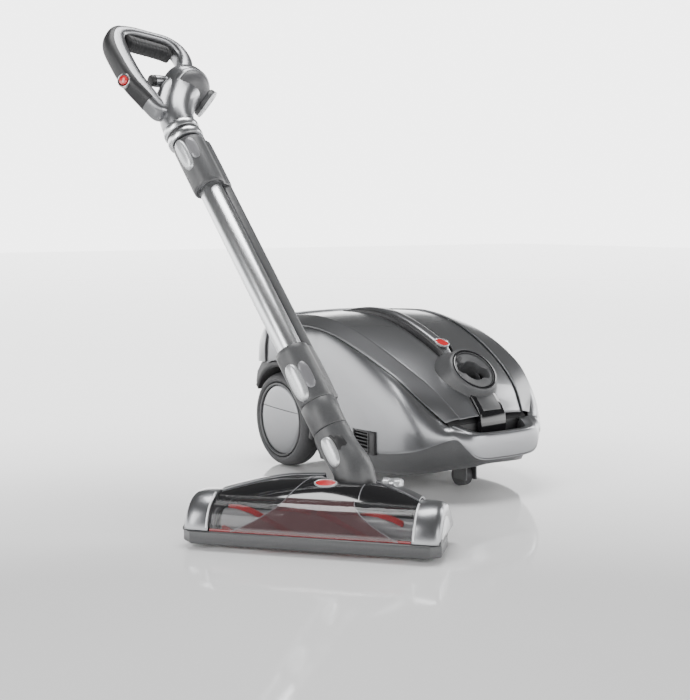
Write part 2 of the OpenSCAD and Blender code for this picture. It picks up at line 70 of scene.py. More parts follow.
UP = Vector((0, 0, 1))
wheel_axle = (joint_at("left_wheel_spin") + joint_at("right_wheel_spin")) / 2
CANISTER = Matrix.Translation((wheel_axle.x, wheel_axle.y, 0))
HEAD = frame_from(Vector(), joint_axis("brush_spin"), UP)
BRUSH_AT = Vector((0, 38, 27))
HEAD.translation = joint_at("brush_spin") - HEAD.to_3x3() @ BRUSH_AT * MM
WAND = frame_from(joint_at("neck_swivel"), joint_axis("bleed_knob_turn").cross(joint_axis("wand_extend")),
                  joint_axis("wand_extend"))
SIDES = ((1, "right"), (-1, "left"))


def moved(place, x, y, z):
    """The frame place moved by millimetres along its own axes."""
    return place @ Matrix.Translation(Vector((x, y, z)) * MM)


def tipped(place, degrees, axis):
    """The frame place turned about one of its own axes."""
    return place @ Matrix.Rotation(math.radians(degrees), 4, axis)


def facing(place, direction):
    """The frame place with its Z turned to a direction in that frame."""
    return place @ Vector(direction).to_track_quat("Z", "Y").to_matrix().to_4x4()


def full_turn(count):
    """count angles round a circle."""
    return np.linspace(0, 2 * math.pi, count, endpoint=False)


PORT = tipped(moved(CANISTER, 0, -311, 182), 45, "X")
HUB = np.array((0, -50, 690))
SOCKET = tipped(moved(WAND, *HUB), 140, "X")
NECK_HOLE = moved(HEAD, 31, 126, 0)
BRUSH_AXIS = tipped(moved(HEAD, *BRUSH_AT), 90, "Y")


# ---------- camera, floor and light ----------
CAMERA_FROM_AXLE = Vector((-1.21854, -1.65509, 0.41271))
CAMERA_PITCH = math.radians(6.35)
CAMERA_YAW = math.radians(36.01)
SENSOR_WIDTH = 36
LENS = 62.61391

camera_data = bpy.data.cameras.new("camera")
camera_data.sensor_fit = "HORIZONTAL"
camera_data.sensor_width = SENSOR_WIDTH
camera_data.lens = LENS
camera = bpy.data.objects.new("camera", camera_data)
camera.location = CANISTER.translation + CAMERA_FROM_AXLE
camera.rotation_euler = (math.radians(90) - CAMERA_PITCH, 0, -CAMERA_YAW)
bpy.context.scene.collection.objects.link(camera)
bpy.context.scene.camera = camera


def area_light(name, at, target, size, power, shape="RECTANGLE"):
    data = bpy.data.lights.new(name, "AREA")
    data.shape = shape
    data.size, data.size_y = size
    data.energy = power
    light = bpy.data.objects.new(name, data)
    light.location = at
    light.rotation_euler = (Vector(target) - Vector(at)).to_track_quat("-Z", "Y").to_euler()
    bpy.context.scene.collection.objects.link(light)


area_light("top_softbox", (0.3, 0.4, 2.6), (0.1, 0, 0.1), (1.6, 1.0), 60)
area_light("left_softbox", (-2.6, -0.2, 1.5), (0.1, 0.1, 0.2), (0.9, 1.6), 42)
area_light("front_softbox", (0.9, -2.8, 1.2), (0.1, -0.1, 0.15), (1.6, 0.9), 26)
area_light("right_softbox", (2.7, -0.2, 1.5), (0.1, 0, 0.2), (0.8, 1.4), 32)

# ---------- materials ----------
MATERIALS = {}


class Nodes:
    """A small helper round one node tree."""

    def __init__(self, tree):
        self.tree = tree

    def add(self, kind, **values):
        node = self.tree.nodes.new(kind)
        for key, value in values.items():
            if key in node.inputs:
                node.inputs[key].default_value = value
            else:
                setattr(node, key, value)
        return node

    def link(self, a, out, b, into):
        self.tree.links.new(a.outputs[out], b.inputs[into])


def principled(name, base, spread=0.0, grain=400, bump=0.0, bump_grain=900, rough=0.4, rough_spread=0.05,
               stretch=(1, 1, 1), **sockets):
    """A node material: colour and roughness vary a little with noise, and fine noise bumps the surface."""
    material = bpy.data.materials.new(name)
    material.use_nodes = True
    nodes = Nodes(material.node_tree)
    shader = material.node_tree.nodes["Principled BSDF"]
    for key, value in sockets.items():
        shader.inputs[key.replace("_", " ")].default_value = value
    place = nodes.add("ShaderNodeTexCoord")
    scale = nodes.add("ShaderNodeMapping", Scale=stretch)
    nodes.link(place, "Object", scale, "Vector")
    noise = nodes.add("ShaderNodeTexNoise", Scale=grain, Detail=4.0, Roughness=0.6)
    nodes.link(scale, "Vector", noise, "Vector")
    ramp = nodes.add("ShaderNodeValToRGB")
    for stop, sign in ((0, -1), (1, 1)):
        colour = [max(0.0, c * (1 + sign * spread)) for c in base]
        ramp.color_ramp.elements[stop].color = (*colour, 1)
    ramp.color_ramp.elements[0].position = 0.3
    ramp.color_ramp.elements[1].position = 0.7
    nodes.link(noise, "Fac", ramp, "Fac")
    nodes.link(ramp, "Color", shader, "Base Color")
    level = nodes.add("ShaderNodeMapRange", **{"To Min": rough - rough_spread,
                                               "To Max": rough + rough_spread})
    nodes.link(noise, "Fac", level, "Value")
    nodes.link(level, "Result", shader, "Roughness")
    if bump:
        fine = nodes.add("ShaderNodeTexNoise", Scale=bump_grain, Detail=3.0)
        nodes.link(scale, "Vector", fine, "Vector")
        height = nodes.add("ShaderNodeBump", Strength=bump, Distance=0.0004)
        nodes.link(fine, "Fac", height, "Height")
        nodes.link(height, "Normal", shader, "Normal")
    MATERIALS[name] = material
    return material


principled("silver_paint", (0.215, 0.218, 0.226), spread=0.10, grain=2600, bump=0.05, bump_grain=2600,
           rough=0.30, rough_spread=0.03, Metallic=0.85, Coat_Weight=0.6, Coat_Roughness=0.08)
principled("dark_paint", (0.135, 0.137, 0.142), spread=0.10, grain=2600, bump=0.05, bump_grain=2600,
           rough=0.34, rough_spread=0.03, Metallic=0.75, Coat_Weight=0.4, Coat_Roughness=0.12)
principled("charcoal", (0.060, 0.061, 0.063), spread=0.10, grain=500, bump=0.16, bump_grain=1500,
           rough=0.42, rough_spread=0.05)
principled("black_gloss", (0.008, 0.008, 0.009), spread=0.1, grain=200, bump=0.01, rough=0.09,
           rough_spread=0.02, Coat_Weight=0.5, Coat_Roughness=0.03)
principled("black", (0.012, 0.012, 0.013), spread=0.2, grain=600, bump=0.18, bump_grain=1500, rough=0.5)
principled("tyre", (0.045, 0.045, 0.047), spread=0.15, grain=300, bump=0.22, bump_grain=1200, rough=0.58)
principled("steel", (0.56, 0.56, 0.57), spread=0.05, grain=700, bump=0.05, rough=0.26, stretch=(1, 1, 0.05),
           Metallic=1.0)
principled("chrome", (0.62, 0.63, 0.64), spread=0.03, grain=900, bump=0.02, bump_grain=2000, rough=0.29,
           rough_spread=0.05, Metallic=1.0)
principled("light_grey", (0.50, 0.51, 0.52), spread=0.06, grain=1200, bump=0.06, rough=0.28,
           rough_spread=0.04, Metallic=0.45, Coat_Weight=0.3, Coat_Roughness=0.1)
principled("red_button", (0.52, 0.015, 0.02), spread=0.08, grain=200, bump=0.02, rough=0.22,
           Coat_Weight=0.6, Coat_Roughness=0.05)
principled("bristle", (0.72, 0.035, 0.04), spread=0.35, grain=900, bump=0.3, rough=0.5)
principled("paper", (0.72, 0.67, 0.56), spread=0.08, grain=250, bump=0.35, bump_grain=700, rough=0.85)
principled("filter_foam", (0.75, 0.75, 0.70), spread=0.08, grain=500, bump=0.5, bump_grain=900, rough=0.9)
principled("motor_case", (0.05, 0.05, 0.055), spread=0.15, grain=400, bump=0.15, rough=0.45)
principled("belt_rubber", (0.010, 0.010, 0.010), spread=0.2, grain=500, bump=0.2, rough=0.6)
principled("smoked_window", (0.05, 0.05, 0.052), spread=0.04, grain=60, rough=0.05, rough_spread=0.01,
           Alpha=0.26, Coat_Weight=0.6, Coat_Roughness=0.03)
principled("tinted_window", (0.10, 0.055, 0.058), spread=0.04, grain=60, rough=0.06, rough_spread=0.01,
           Alpha=0.50, Coat_Weight=0.5, Coat_Roughness=0.03)
principled("smoked_grey", (0.16, 0.16, 0.17), spread=0.05, grain=200, rough=0.2, Coat_Weight=0.4)
principled("mid_grey", (0.20, 0.20, 0.21), spread=0.08, grain=900, bump=0.08, rough=0.34, Metallic=0.3)
principled("hub_grey", (0.065, 0.065, 0.068), spread=0.08, grain=900, bump=0.06, rough=0.42)
principled("pearl", (0.74, 0.75, 0.76), spread=0.03, grain=800, bump=0.02, rough=0.2, Coat_Weight=0.5,
           Coat_Roughness=0.06)
principled("dark_red", (0.20, 0.012, 0.016), spread=0.1, grain=300, rough=0.25, Coat_Weight=0.4)
principled("roll_grey", (0.34, 0.34, 0.35), spread=0.1, grain=600, bump=0.08, rough=0.3, Coat_Weight=0.3)
principled("floor", (0.95, 0.95, 0.95), spread=0.01, grain=3, rough=0.06, rough_spread=0.01, IOR=1.9)

world = bpy.data.worlds.new("studio")
world.use_nodes = True
bpy.context.scene.world = world
sky = Nodes(world.node_tree)
place = sky.add("ShaderNodeTexCoord")
split = sky.add("ShaderNodeSeparateXYZ")
sky.link(place, "Generated", split, "Vector")
fade = sky.add("ShaderNodeValToRGB")
for stop, (position, level) in zip(fade.color_ramp.elements, ((0.17, 4.5), (0.29, 0.10))):
    stop.position = position
    stop.color = (level, level, level, 1)
sky.link(split, "Z", fade, "Fac")
sky.link(fade, "Color", world.node_tree.nodes["Background"], "Color")
world.node_tree.nodes["Background"].inputs["Strength"].default_value = 1.0

floor_mesh = bpy.data.meshes.new("floor")
floor_mesh.from_pydata([(-12, -12, 0), (12, -12, 0), (12, 12, 0), (-12, 12, 0)], [], [(0, 1, 2, 3)])
floor_mesh.materials.append(MATERIALS["floor"])
floor = bpy.data.objects.new("floor", floor_mesh)
bpy.context.scene.collection.objects.link(floor)


# ---------- curves ----------
def bezier(p0, p1, p2, p3, count=16):
    """count points along a cubic curve."""
    t = np.linspace(0, 1, count)[:, None]
    p0, p1, p2, p3 = (np.array(p, float) for p in (p0, p1, p2, p3))
    return (1 - t) ** 3 * p0 + 3 * (1 - t) ** 2 * t * p1 + 3 * (1 - t) * t * t * p2 + t ** 3 * p3


def through(points, count, closed=False):
    """count points along a smooth curve through points, evenly in the points' own parameter."""
    p = np.array(points, float)
    n = len(p)
    if closed:
        pad = np.vstack([p[-1], p, p[0], p[1]])
        t = np.linspace(0, n, count, endpoint=False)
    else:
        pad = np.vstack([2 * p[0] - p[1], p, 2 * p[-1] - p[-2]])
        t = np.linspace(0, n - 1, count)
    i = np.minimum(t.astype(int), (n if closed else n - 1) - 1)
    f = (t - i)[:, None]
    a, b, c, d = pad[i], pad[i + 1], pad[i + 2], pad[i + 3]
    return 0.5 * (2 * b + (c - a) * f + (2 * a - 5 * b + 4 * c - d) * f ** 2
                  + (3 * b - a - 3 * c + d) * f ** 3)


def superellipse(a, b, power=2.6, count=32):
    """A closed rounded outline with half sizes a and b."""
    t = full_turn(count)
    c, s = np.cos(t), np.sin(t)
    return np.column_stack([a * np.sign(c) * abs(c) ** (2 / power), b * np.sign(s) * abs(s) ** (2 / power)])


# ---------- mesh builders ----------
def build(name, verts, faces, place, solid=0.0, bevel=0.0, segments=3, angle=35, subdivide=0, flip=False):
    """A mesh object from millimetre points in the frame place.
    solid adds a wall inwards, bevel rounds the edges."""
    mesh = bpy.data.meshes.new(name)
    mesh.from_pydata([place @ (Vector(v) * MM) for v in verts], [], [tuple(f) for f in faces])
    edit = bmesh.new()
    edit.from_mesh(mesh)
    bmesh.ops.remove_doubles(edit, verts=edit.verts, dist=2e-6)
    if solid:
        if flip:
            bmesh.ops.reverse_faces(edit, faces=edit.faces)
    else:
        bmesh.ops.recalc_face_normals(edit, faces=edit.faces)
    edit.to_mesh(mesh)
    edit.free()
    piece = bpy.data.objects.new(name, mesh)
    bpy.context.scene.collection.objects.link(piece)
    if solid:
        wall = piece.modifiers.new("wall", "SOLIDIFY")
        wall.thickness = solid * MM
        wall.offset = -1
    if subdivide:
        smooth = piece.modifiers.new("smooth", "SUBSURF")
        smooth.levels = smooth.render_levels = subdivide
    if bevel:
        edge = piece.modifiers.new("edge", "BEVEL")
        edge.width = bevel * MM
        edge.segments = segments
        edge.limit_method = "ANGLE"
        edge.angle_limit = math.radians(angle)
        edge.use_clamp_overlap = True
    bake(piece)
    return piece


def bake(piece, angle=38):
    """Turns the modifiers into mesh, and shades it smooth but for its sharp edges."""
    bpy.context.view_layer.update()
    evaluated = piece.evaluated_get(bpy.context.evaluated_depsgraph_get())
    piece.data = bpy.data.meshes.new_from_object(evaluated)
    piece.modifiers.clear()
    piece.data.shade_smooth()
    piece.data.set_sharp_from_angle(angle=math.radians(angle))


def quads(rows, columns, close_rows=False, close_columns=False, offset=0):
    """Faces of a grid of rows x columns points."""
    out = []
    for r in range(rows if close_rows else rows - 1):
        for c in range(columns if close_columns else columns - 1):
            r1, c1 = (r + 1) % rows, (c + 1) % columns
            out.append([offset + r * columns + c, offset + r * columns + c1, offset + r1 * columns + c1,
                        offset + r1 * columns + c])
    return out


def sheet(name, grid, place, **options):
    """A sheet from a grid of points, given a wall by options."""
    grid = np.array(grid, float)
    return build(name, grid.reshape(-1, 3), quads(grid.shape[0], grid.shape[1]), place, **options)


def loft(name, rings, place, closed=False, caps=True, **options):
    """A closed body through rings of points; each ring is a closed loop."""
    rings = np.array(rings, float)
    n, m = rings.shape[:2]
    faces = quads(n, m, close_rows=closed, close_columns=True)
    if caps and not closed:
        faces += [list(range(m)), list(range((n - 1) * m, n * m))]
    return build(name, rings.reshape(-1, 3), faces, place, **options)


def lathe(name, profile, place, count=96, **options):
    """A closed outline of (radius, height) turned about the local Z axis."""
    rings = [[(r * math.cos(a), r * math.sin(a), z) for r, z in profile] for a in full_turn(count)]
    grid = np.array(rings)
    return build(name, grid.reshape(-1, 3), quads(count, len(profile), True, True), place, **options)


def prism(name, outline, x0, x1, place, bevel=0.8, **options):
    """An outline in (Y, Z) extruded along X, with rounded edges."""
    outline = np.array(outline, float)
    m = len(outline)
    verts = [(x, y, z) for x in (x0, x1) for y, z in outline]
    faces = quads(2, m, close_columns=True) + [list(range(m)), list(range(m, 2 * m))]
    return build(name, verts, faces, place, bevel=bevel, **options)


def sweep(name, centres, radii, place, count=64, caps=True, **options):
    """Round body along a curved line, with a radius at each point."""
    p = np.array(centres, float)
    along = np.gradient(p, axis=0)
    along /= np.linalg.norm(along, axis=1)[:, None]
    side = np.cross(along[0], (0, 1, 0))
    side /= np.linalg.norm(side)
    rings = []
    turn = full_turn(count)
    for q, t, r in zip(p, along, radii):
        side = side - t * side.dot(t)
        side /= np.linalg.norm(side)
        other = np.cross(t, side)
        rings.append([q + r * (math.cos(a) * side + math.sin(a) * other) for a in turn])
    return loft(name, rings, place, caps=caps, **options)


def finish_piece(piece, body, slot, *nodes, material=None):
    """Gives a piece its body and the material of its slot, and hides the CAD nodes that it stands for."""
    piece.data.materials.clear()
    piece.data.materials.append(MATERIALS[material or slot])
    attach(piece, body)
    if nodes:
        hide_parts(*nodes)
    return piece


def joined(name, pieces):
    """One object from several."""
    edit = bmesh.new()
    for piece in pieces:
        edit.from_mesh(piece.data)
    mesh = bpy.data.meshes.new(name)
    edit.to_mesh(mesh)
    edit.free()
    for piece in pieces:
        bpy.data.objects.remove(piece)
    out = bpy.data.objects.new(name, mesh)
    bpy.context.scene.collection.objects.link(out)
    bake(out)
    return out


def mirrored(points):
    """The same points on the other side of the local X = 0 plane."""
    p = np.array(points, float).copy()
    p[..., 0] *= -1
    return p


def both_sides(half):
    """Rows from the right side's first to the left side's, through the middle row."""
    return np.vstack([half, mirrored(half)[::-1][1:]])


def once(side, node):
    """The node that a pair of pieces stands for, given to the right-hand piece alone."""
    return [node] if side > 0 else []


# ---------- CAD nodes keep their shape and take a material from their slot ----------
for part in frame["record"]["subparts"]:
    node = frame["nodes"][part["node"]]
    node.data.materials.clear()
    node.data.materials.append(MATERIALS[part["material_slot"]])


# ---------- canister shells ----------
# Curves from the rear to the nose, on the positive X side of the canister's frame
TOP_CENTRE = [(0, 38, 250.5), (0, -20, 253.5), (0, -60, 254), (0, -105, 249), (0, -155, 237),
              (0, -205, 219), (0, -250, 198.5), (0, -290, 175.5), (0, -325, 150), (0, -353, 120)]
LID_EDGE = [(108, 38, 246.5), (109, -20, 249.5), (109, -60, 250), (108, -105, 245), (105, -155, 232.5),
            (101, -203, 214), (95, -247, 193.5), (86, -288, 171), (75, -322, 147), (62, -350, 117)]
SEAM = [(139, 38, 231), (140.5, -20, 235), (140.5, -60, 236), (142, -105, 234), (141.5, -150, 226),
        (139.5, -195, 212), (134.5, -240, 193.5), (125, -285, 170), (110, -318, 142), (84, -342, 112)]
# The rim of the scoop carries the seam's line on round the nose
RIM = [(78, -352, 108), (71, -366, 103.5), (61, -378, 99.5), (42, -384.5, 97.5), (0, -386, 97)]
# Widest line of the side, and the lower edge of the silver moulding
GIRTH = [(151, 38, 0), (151.5, -20, 0), (152, -60, 0), (152.5, -105, 0), (152.5, -150, 0), (152, -195, 0),
         (149.5, -240, 0), (142, -288, 0), (126, -325, 0), (101, -353, 0), (88, -365, 0), (77, -375, 0),
         (65, -383, 0), (42, -388, 0), (0, -389.5, 0)]
FOOT = [(150, 38, 170), (150, -20, 176), (150, -60, 158), (150, -98, 64), (150.5, -150, 60),
        (150.5, -195, 60), (148, -240, 61), (140, -289, 65), (122, -328, 73.5), (97, -357, 88),
        (84, -368, 91), (72, -378, 77), (60, -384, 65), (40, -388, 60.5), (0, -389, 59.5)]
BASE_EDGE = [(101, 38, 26), (101, -20, 26), (101, -60, 26), (136, -98, 27), (138, -150, 27),
             (138, -195, 27), (134, -240, 28), (118, -289, 31), (92, -322, 36), (70, -344, 42),
             (60, -352, 44), (50, -360, 46), (40, -367, 49), (26, -373, 51), (0, -376, 52)]
SIDE_STATIONS = 91
NOSE_STATIONS = 41
PANEL_ARCH = 98
AXLE_Z = wheel_axle.z / MM


def crown_rows(columns=41):
    """Rows of the lid, from one edge over the crown to the other."""
    rows = []
    for c, e in zip(through(TOP_CENTRE, SIDE_STATIONS), through(LID_EDGE, SIDE_STATIONS)):
        rows.append([(e[0] * s, c[1] + (e[1] - c[1]) * s * s, c[2] - (c[2] - e[2]) * abs(s) ** 2.2)
                     for s in np.linspace(-0.996, 0.996, columns)])
    return np.array(rows)


def lid_height(x, y):
    """Height of the lid's surface over a point of its plan."""
    centre, edge = through(TOP_CENTRE, SIDE_STATIONS), through(LID_EDGE, SIDE_STATIONS)
    top = np.interp(-y, -centre[:, 1], centre[:, 2])
    side = np.interp(-y, -edge[:, 1], edge[:, 2])
    half = np.interp(-y, -edge[:, 1], edge[:, 0])
    return top - (top - side) * abs(x / half) ** 2.2


def cut(piece, *cutters):
    """Takes the cutters' solids out of a piece."""
    for cutter in cutters:
        hole = piece.modifiers.new("cut", "BOOLEAN")
        hole.operation = "DIFFERENCE"
        hole.solver = "EXACT"
        hole.object = cutter
    bake(piece)
    for cutter in cutters:
        bpy.data.objects.remove(cutter)
    return piece


def block(name, lo, hi, place, bevel=0.0):
    """A box from its corners, with rounded edges."""
    return prism(name, [(lo[1], lo[2]), (hi[1], lo[2]), (hi[1], hi[2]), (lo[1], hi[2])], lo[0], hi[0],
                 place, bevel=bevel)


def disc_cutter(radius, z0, z1, place):
    return lathe("cutter", [(0.01, z0), (radius, z0), (radius, z1), (0.01, z1)], place, count=96)


def make_lid():
    lid = sheet("lid_shell", crown_rows(), CANISTER, solid=3, bevel=0.8, flip=True)
    cut(lid, disc_cutter(36.5, -70, 60, PORT),
        block("cutter", (-26.5, -380, 90), (26.5, -321, 200), CANISTER),
        block("cutter", (-130, 30, 200), (130, 60, 270), CANISTER))
    finish_piece(lid, "lid", "silver_paint", "lid_cover")
    # fixed strip between the lid's rear edge and the rear cover
    strip = sheet("lid_rear_strip", crown_rows(), CANISTER, solid=3, bevel=0.8, flip=True)
    cut(strip, block("cutter", (-130, -400, 80), (130, 30.8, 270), CANISTER))
    finish_piece(strip, "canister", "silver_paint")
    # shallow seam across the rear of the lid, left and right of the handle
    for side, name in SIDES[::-1]:
        line = [(side * x, -128 - 0.33 * (106 - x)) for x in np.linspace(24, 106, 30)]
        points = [(x, y, lid_height(x, y) + 0.06) for x, y in line]
        finish_piece(ribbon(f"lid_seam_{name}", points, 0.5, 0.25), "lid", "black")


def ribbon(name, points, half, depth, place=None):
    """A thin dark line lying along points, half wide either way in plan, for a seam."""
    p = np.array(points, float)
    along = np.gradient(p, axis=0)
    side = np.cross(along, (0, 0, 1))
    side /= np.linalg.norm(side, axis=1)[:, None]
    rows = [[q - s * half, q + s * half, q + s * half - (0, 0, depth), q - s * half - (0, 0, depth)]
            for q, s in zip(p, side)]
    return loft(name, rows, place or CANISTER)


def make_bands():
    edge, seam = through(LID_EDGE, SIDE_STATIONS), through(SEAM, SIDE_STATIONS)
    for side, name in SIDES:
        rows = []
        for e, s in zip(edge, seam):
            control = (e + s) / 2 + np.array([0.10, 0, 0.10]) * (e[2] - s[2] + 4)
            t = np.linspace(0.012, 0.985, 9)[:, None]
            rows.append((1 - t) ** 2 * e + 2 * t * (1 - t) * control + t * t * s)
        rows = mirrored(rows) if side < 0 else np.array(rows)
        band = sheet(f"trim_band_{name}", rows, CANISTER, solid=3, bevel=0.6, flip=side < 0)
        finish_piece(band, "canister", "dark_paint", *once(side, "trim_bands"))


def silver_rows(columns=23):
    top = through(SEAM + RIM, SIDE_STATIONS + NOSE_STATIONS)
    girth = through(GIRTH, SIDE_STATIONS + NOSE_STATIONS)
    foot = through(FOOT, SIDE_STATIONS + NOSE_STATIONS)
    rows = []
    for a, g, b in zip(top, girth, foot):
        b = b.copy()
        if b[1] > -PANEL_ARCH:
            b[1] = max(b[1], 0.5 - PANEL_ARCH)
            b[2] = max(64, AXLE_Z + math.sqrt(PANEL_ARCH ** 2 - b[1] ** 2))
        height = a[2] - b[2]
        upper = np.array([g[0], g[1], a[2] - 0.12 * height]) * 0.94 + a * 0.06
        lower = np.array([g[0], g[1], b[2] + 0.35 * height])
        rows.append(bezier(a, upper, lower, b, columns))
    return np.array(rows)


def make_body():
    skin = both_sides(silver_rows())
    half = skin[:SIDE_STATIONS + NOSE_STATIONS]
    # the scoop's lip and pocket, from the rim inwards and down
    start = SIDE_STATIONS + 2
    rim = half[start:, 0]
    inner = through([(60, -345, 108), (57, -357, 104.5), (51, -369, 100.5), (38, -376, 98.5),
                     (0, -378, 98)], len(rim))
    floor_line = through([(57, -346, 66), (54, -356, 66), (48, -366, 66), (36, -372, 66), (0, -374, 66)],
                         len(rim))
    pocket = []
    for a, b, c in zip(rim, inner, floor_line):
        lip = bezier(a, a + (0, 0, 1.6), b + (0, 0, 1.6), b, 8)
        wall = bezier(b, b - (0, 0, 4), c + (0, 0, 12), c, 9)[1:]
        pocket.append(np.vstack([lip, wall]))
    pocket = both_sides(np.array(pocket))
    verts = np.vstack([skin.reshape(-1, 3), pocket.reshape(-1, 3)])
    faces = quads(*skin.shape[:2])
    faces += [f[::-1] for f in quads(*pocket.shape[:2], offset=skin.shape[0] * skin.shape[1])]
    body = build("body_shell_skin", verts, faces, CANISTER, solid=2.6, bevel=0.7, angle=50, flip=True)
    vent = [block("cutter", (s * 130, -256, 60), (s * 170, -207, 92), CANISTER) for s in (1, -1)]
    cut(body, *vent)
    finish_piece(body, "canister", "silver_paint", "body_shell")
    recess = block("scoop_floor", (-58, -372, 60), (58, -330, 66.5), CANISTER, bevel=1)
    finish_piece(recess, "canister", "black")
    back = prism("scoop_back", [(-345, 62), (-341, 62), (-338, 108), (-344, 108)], -60, 60, CANISTER,
                 bevel=1)
    shelf = prism("scoop_shelf", [(-344, 104), (-338, 104), (-318, 126), (-318, 131), (-342, 110)], -78, 78,
                  CANISTER, bevel=0.8)
    cheeks = [block("cheek", (k * 68 - 9, -352, 84), (k * 68 + 9, -338, 106), CANISTER, 1) for k in (-1, 1)]
    finish_piece(joined("scoop_inside", [back, shelf, *cheeks]), "canister", "black")


def make_base():
    foot = through(FOOT, SIDE_STATIONS + NOSE_STATIONS)
    edge = through(BASE_EDGE, SIDE_STATIONS + NOSE_STATIONS)
    rows = []
    for a, b in zip(foot, edge):
        if a[1] > -PANEL_ARCH + 1:
            continue
        inward = np.array([a[0] / 150, 0.35 * (a[1] < -300), 0])
        top = a - 1.6 * inward + (0, 0, 3)
        rows.append(np.vstack([bezier(top, top - (0, 0, 0.5 * (top[2] - b[2])), b + (0, 0, 9), b, 12),
                               bezier(b, b - (3 * b[0] / 130, -2, 1), (0.5 * b[0], b[1] + 6, b[2] - 2),
                                      (0, b[1] + 14, b[2] - 2), 8)[1:]]))
    hull = sheet("base_hull", both_sides(np.array(rows)), CANISTER, solid=3, bevel=0.6, angle=60, flip=True)
    cut(hull, disc_cutter(33, -5, 43, moved(CANISTER, 0, -300, 0)))
    finish_piece(hull, "canister", "charcoal", "base_shell")
    # tub between the wheels, closed at the back
    rings = []
    for z, inset in ((24, 8), (25.5, 4), (29, 1), (34, 0), (100, 0), (162, 0), (166, 0.5)):
        side = bezier((101 - inset, -97, z), (101 - inset, -40, z), (101 - inset, 20, z),
                      (101 - inset, 60, z), 8)
        corner = bezier((101 - inset, 62, z), (101 - inset, 84, z), (98, 96 - inset, z),
                        (80, 96 - inset, z), 9)
        half_ring = np.vstack([side, corner, [(40, 96 - inset, z), (0, 96 - inset, z)]])
        rings.append(both_sides(half_ring))
    tub = loft("base_tub", rings, CANISTER, bevel=0.6, angle=50)
    cut(tub, block("cutter", (-52, 80, 61), (52, 120, 130), CANISTER),
        disc_cutter(11, 80, 120, tipped(moved(CANISTER, 80, 0, 84), -90, "X")))
    finish_piece(tub, "canister", "charcoal")


def make_fenders():
    """The dark arch over each wheel, and the recess that the wheel stands in."""
    for side, name in SIDES:
        rings = []
        for a in np.radians(np.linspace(-12, 150, 71)):
            c, s = -math.cos(a), math.sin(a)
            x_out = 150.5 - 10 * max(0, c) ** 3
            section = superellipse((x_out - 100) / 2, 5.5, 7, 28)
            rings.append([(side * (100 + (x_out - 100) / 2 + u), c * (92 + v), AXLE_Z + s * (92 + v))
                          for u, v in section])
        arch = loft(f"wheel_arch_{name}", rings, CANISTER)
        finish_piece(arch, "canister", "black", *once(side, "wheel_wells"))
        # fender from the arch back to the rear corner
        outline = [(84, 118), (88, 132), (84, 150), (70, 167), (38, 171), (38, 160)]
        outline += [(91 * math.cos(a), AXLE_Z + 91 * math.sin(a))
                    for a in np.radians(np.linspace(62, 27, 14))]
        rear = prism(f"rear_fender_{name}", outline, side * 99, side * 141, CANISTER, bevel=5, segments=5,
                     angle=50)
        finish_piece(rear, "canister", "charcoal")


def make_rear_cover():
    front_half = [(0, 38.6, 250.5), (36, 38.6, 250), (72, 38.6, 249), (104, 38.6, 247), (124, 38.6, 241.5),
                  (139, 38.6, 231), (148, 38.6, 213), (151, 38.6, 192), (150, 38.6, 171)]
    back_half = [(0, 97, 166), (36, 97, 166), (68, 97, 166), (92, 96, 166), (112, 92, 166), (130, 83, 167),
                 (142, 71, 168), (148, 57, 170), (150, 41, 171)]
    front, back = through(front_half, 45), through(back_half, 45)
    rows = []
    for a, b in zip(front, back):
        reach, drop = b[1] - a[1], a[2] - b[2]
        rows.append(bezier(a, a + (0, 0.62 * reach, -0.02 * drop), b + (0, 0, 0.62 * drop), b, 25))
    half = np.array(rows)
    skin = np.vstack([mirrored(half)[::-1], half[1:]])
    cover = sheet("rear_cover_skin", skin, CANISTER, solid=3, bevel=0.8, angle=50, flip=False)
    slots = [block("cutter", (s * 88 - 20.8, 51.2, 190), (s * 88 + 20.8, 88.8, 260), CANISTER)
             for s in (1, -1)]
    cut(cover, *slots)
    finish_piece(cover, "canister", "silver_paint", "rear_cover")
    for side, name in SIDES:
        edge = [(side * x, y + 0.5, z + 0.4) for x, y, z in front[18:]]
        finish_piece(sweep(f"cover_edging_{name}", edge, [1.7] * len(edge), CANISTER, count=16), "canister",
                     "black")
    # each pedal is a pad of the same surface, a little proud of it
    for side, node in ((-1, "power_pedal"), (1, "rewind_pedal")):
        patch = []
        for x in np.linspace(69, 107, 13):
            k = int(np.argmin(abs(front[:, 0] - x)))
            line = half[k]
            y = np.linspace(53, 87, 13)
            z = np.interp(y, line[:, 1], line[:, 2])
            patch.append([(side * x, yy, zz + 2.2) for yy, zz in zip(y, z)])
        pad = sheet(node + "_pad", patch, CANISTER, solid=8, bevel=2.2, segments=4, angle=50, flip=side > 0)
        finish_piece(pad, node, "light_grey", node)


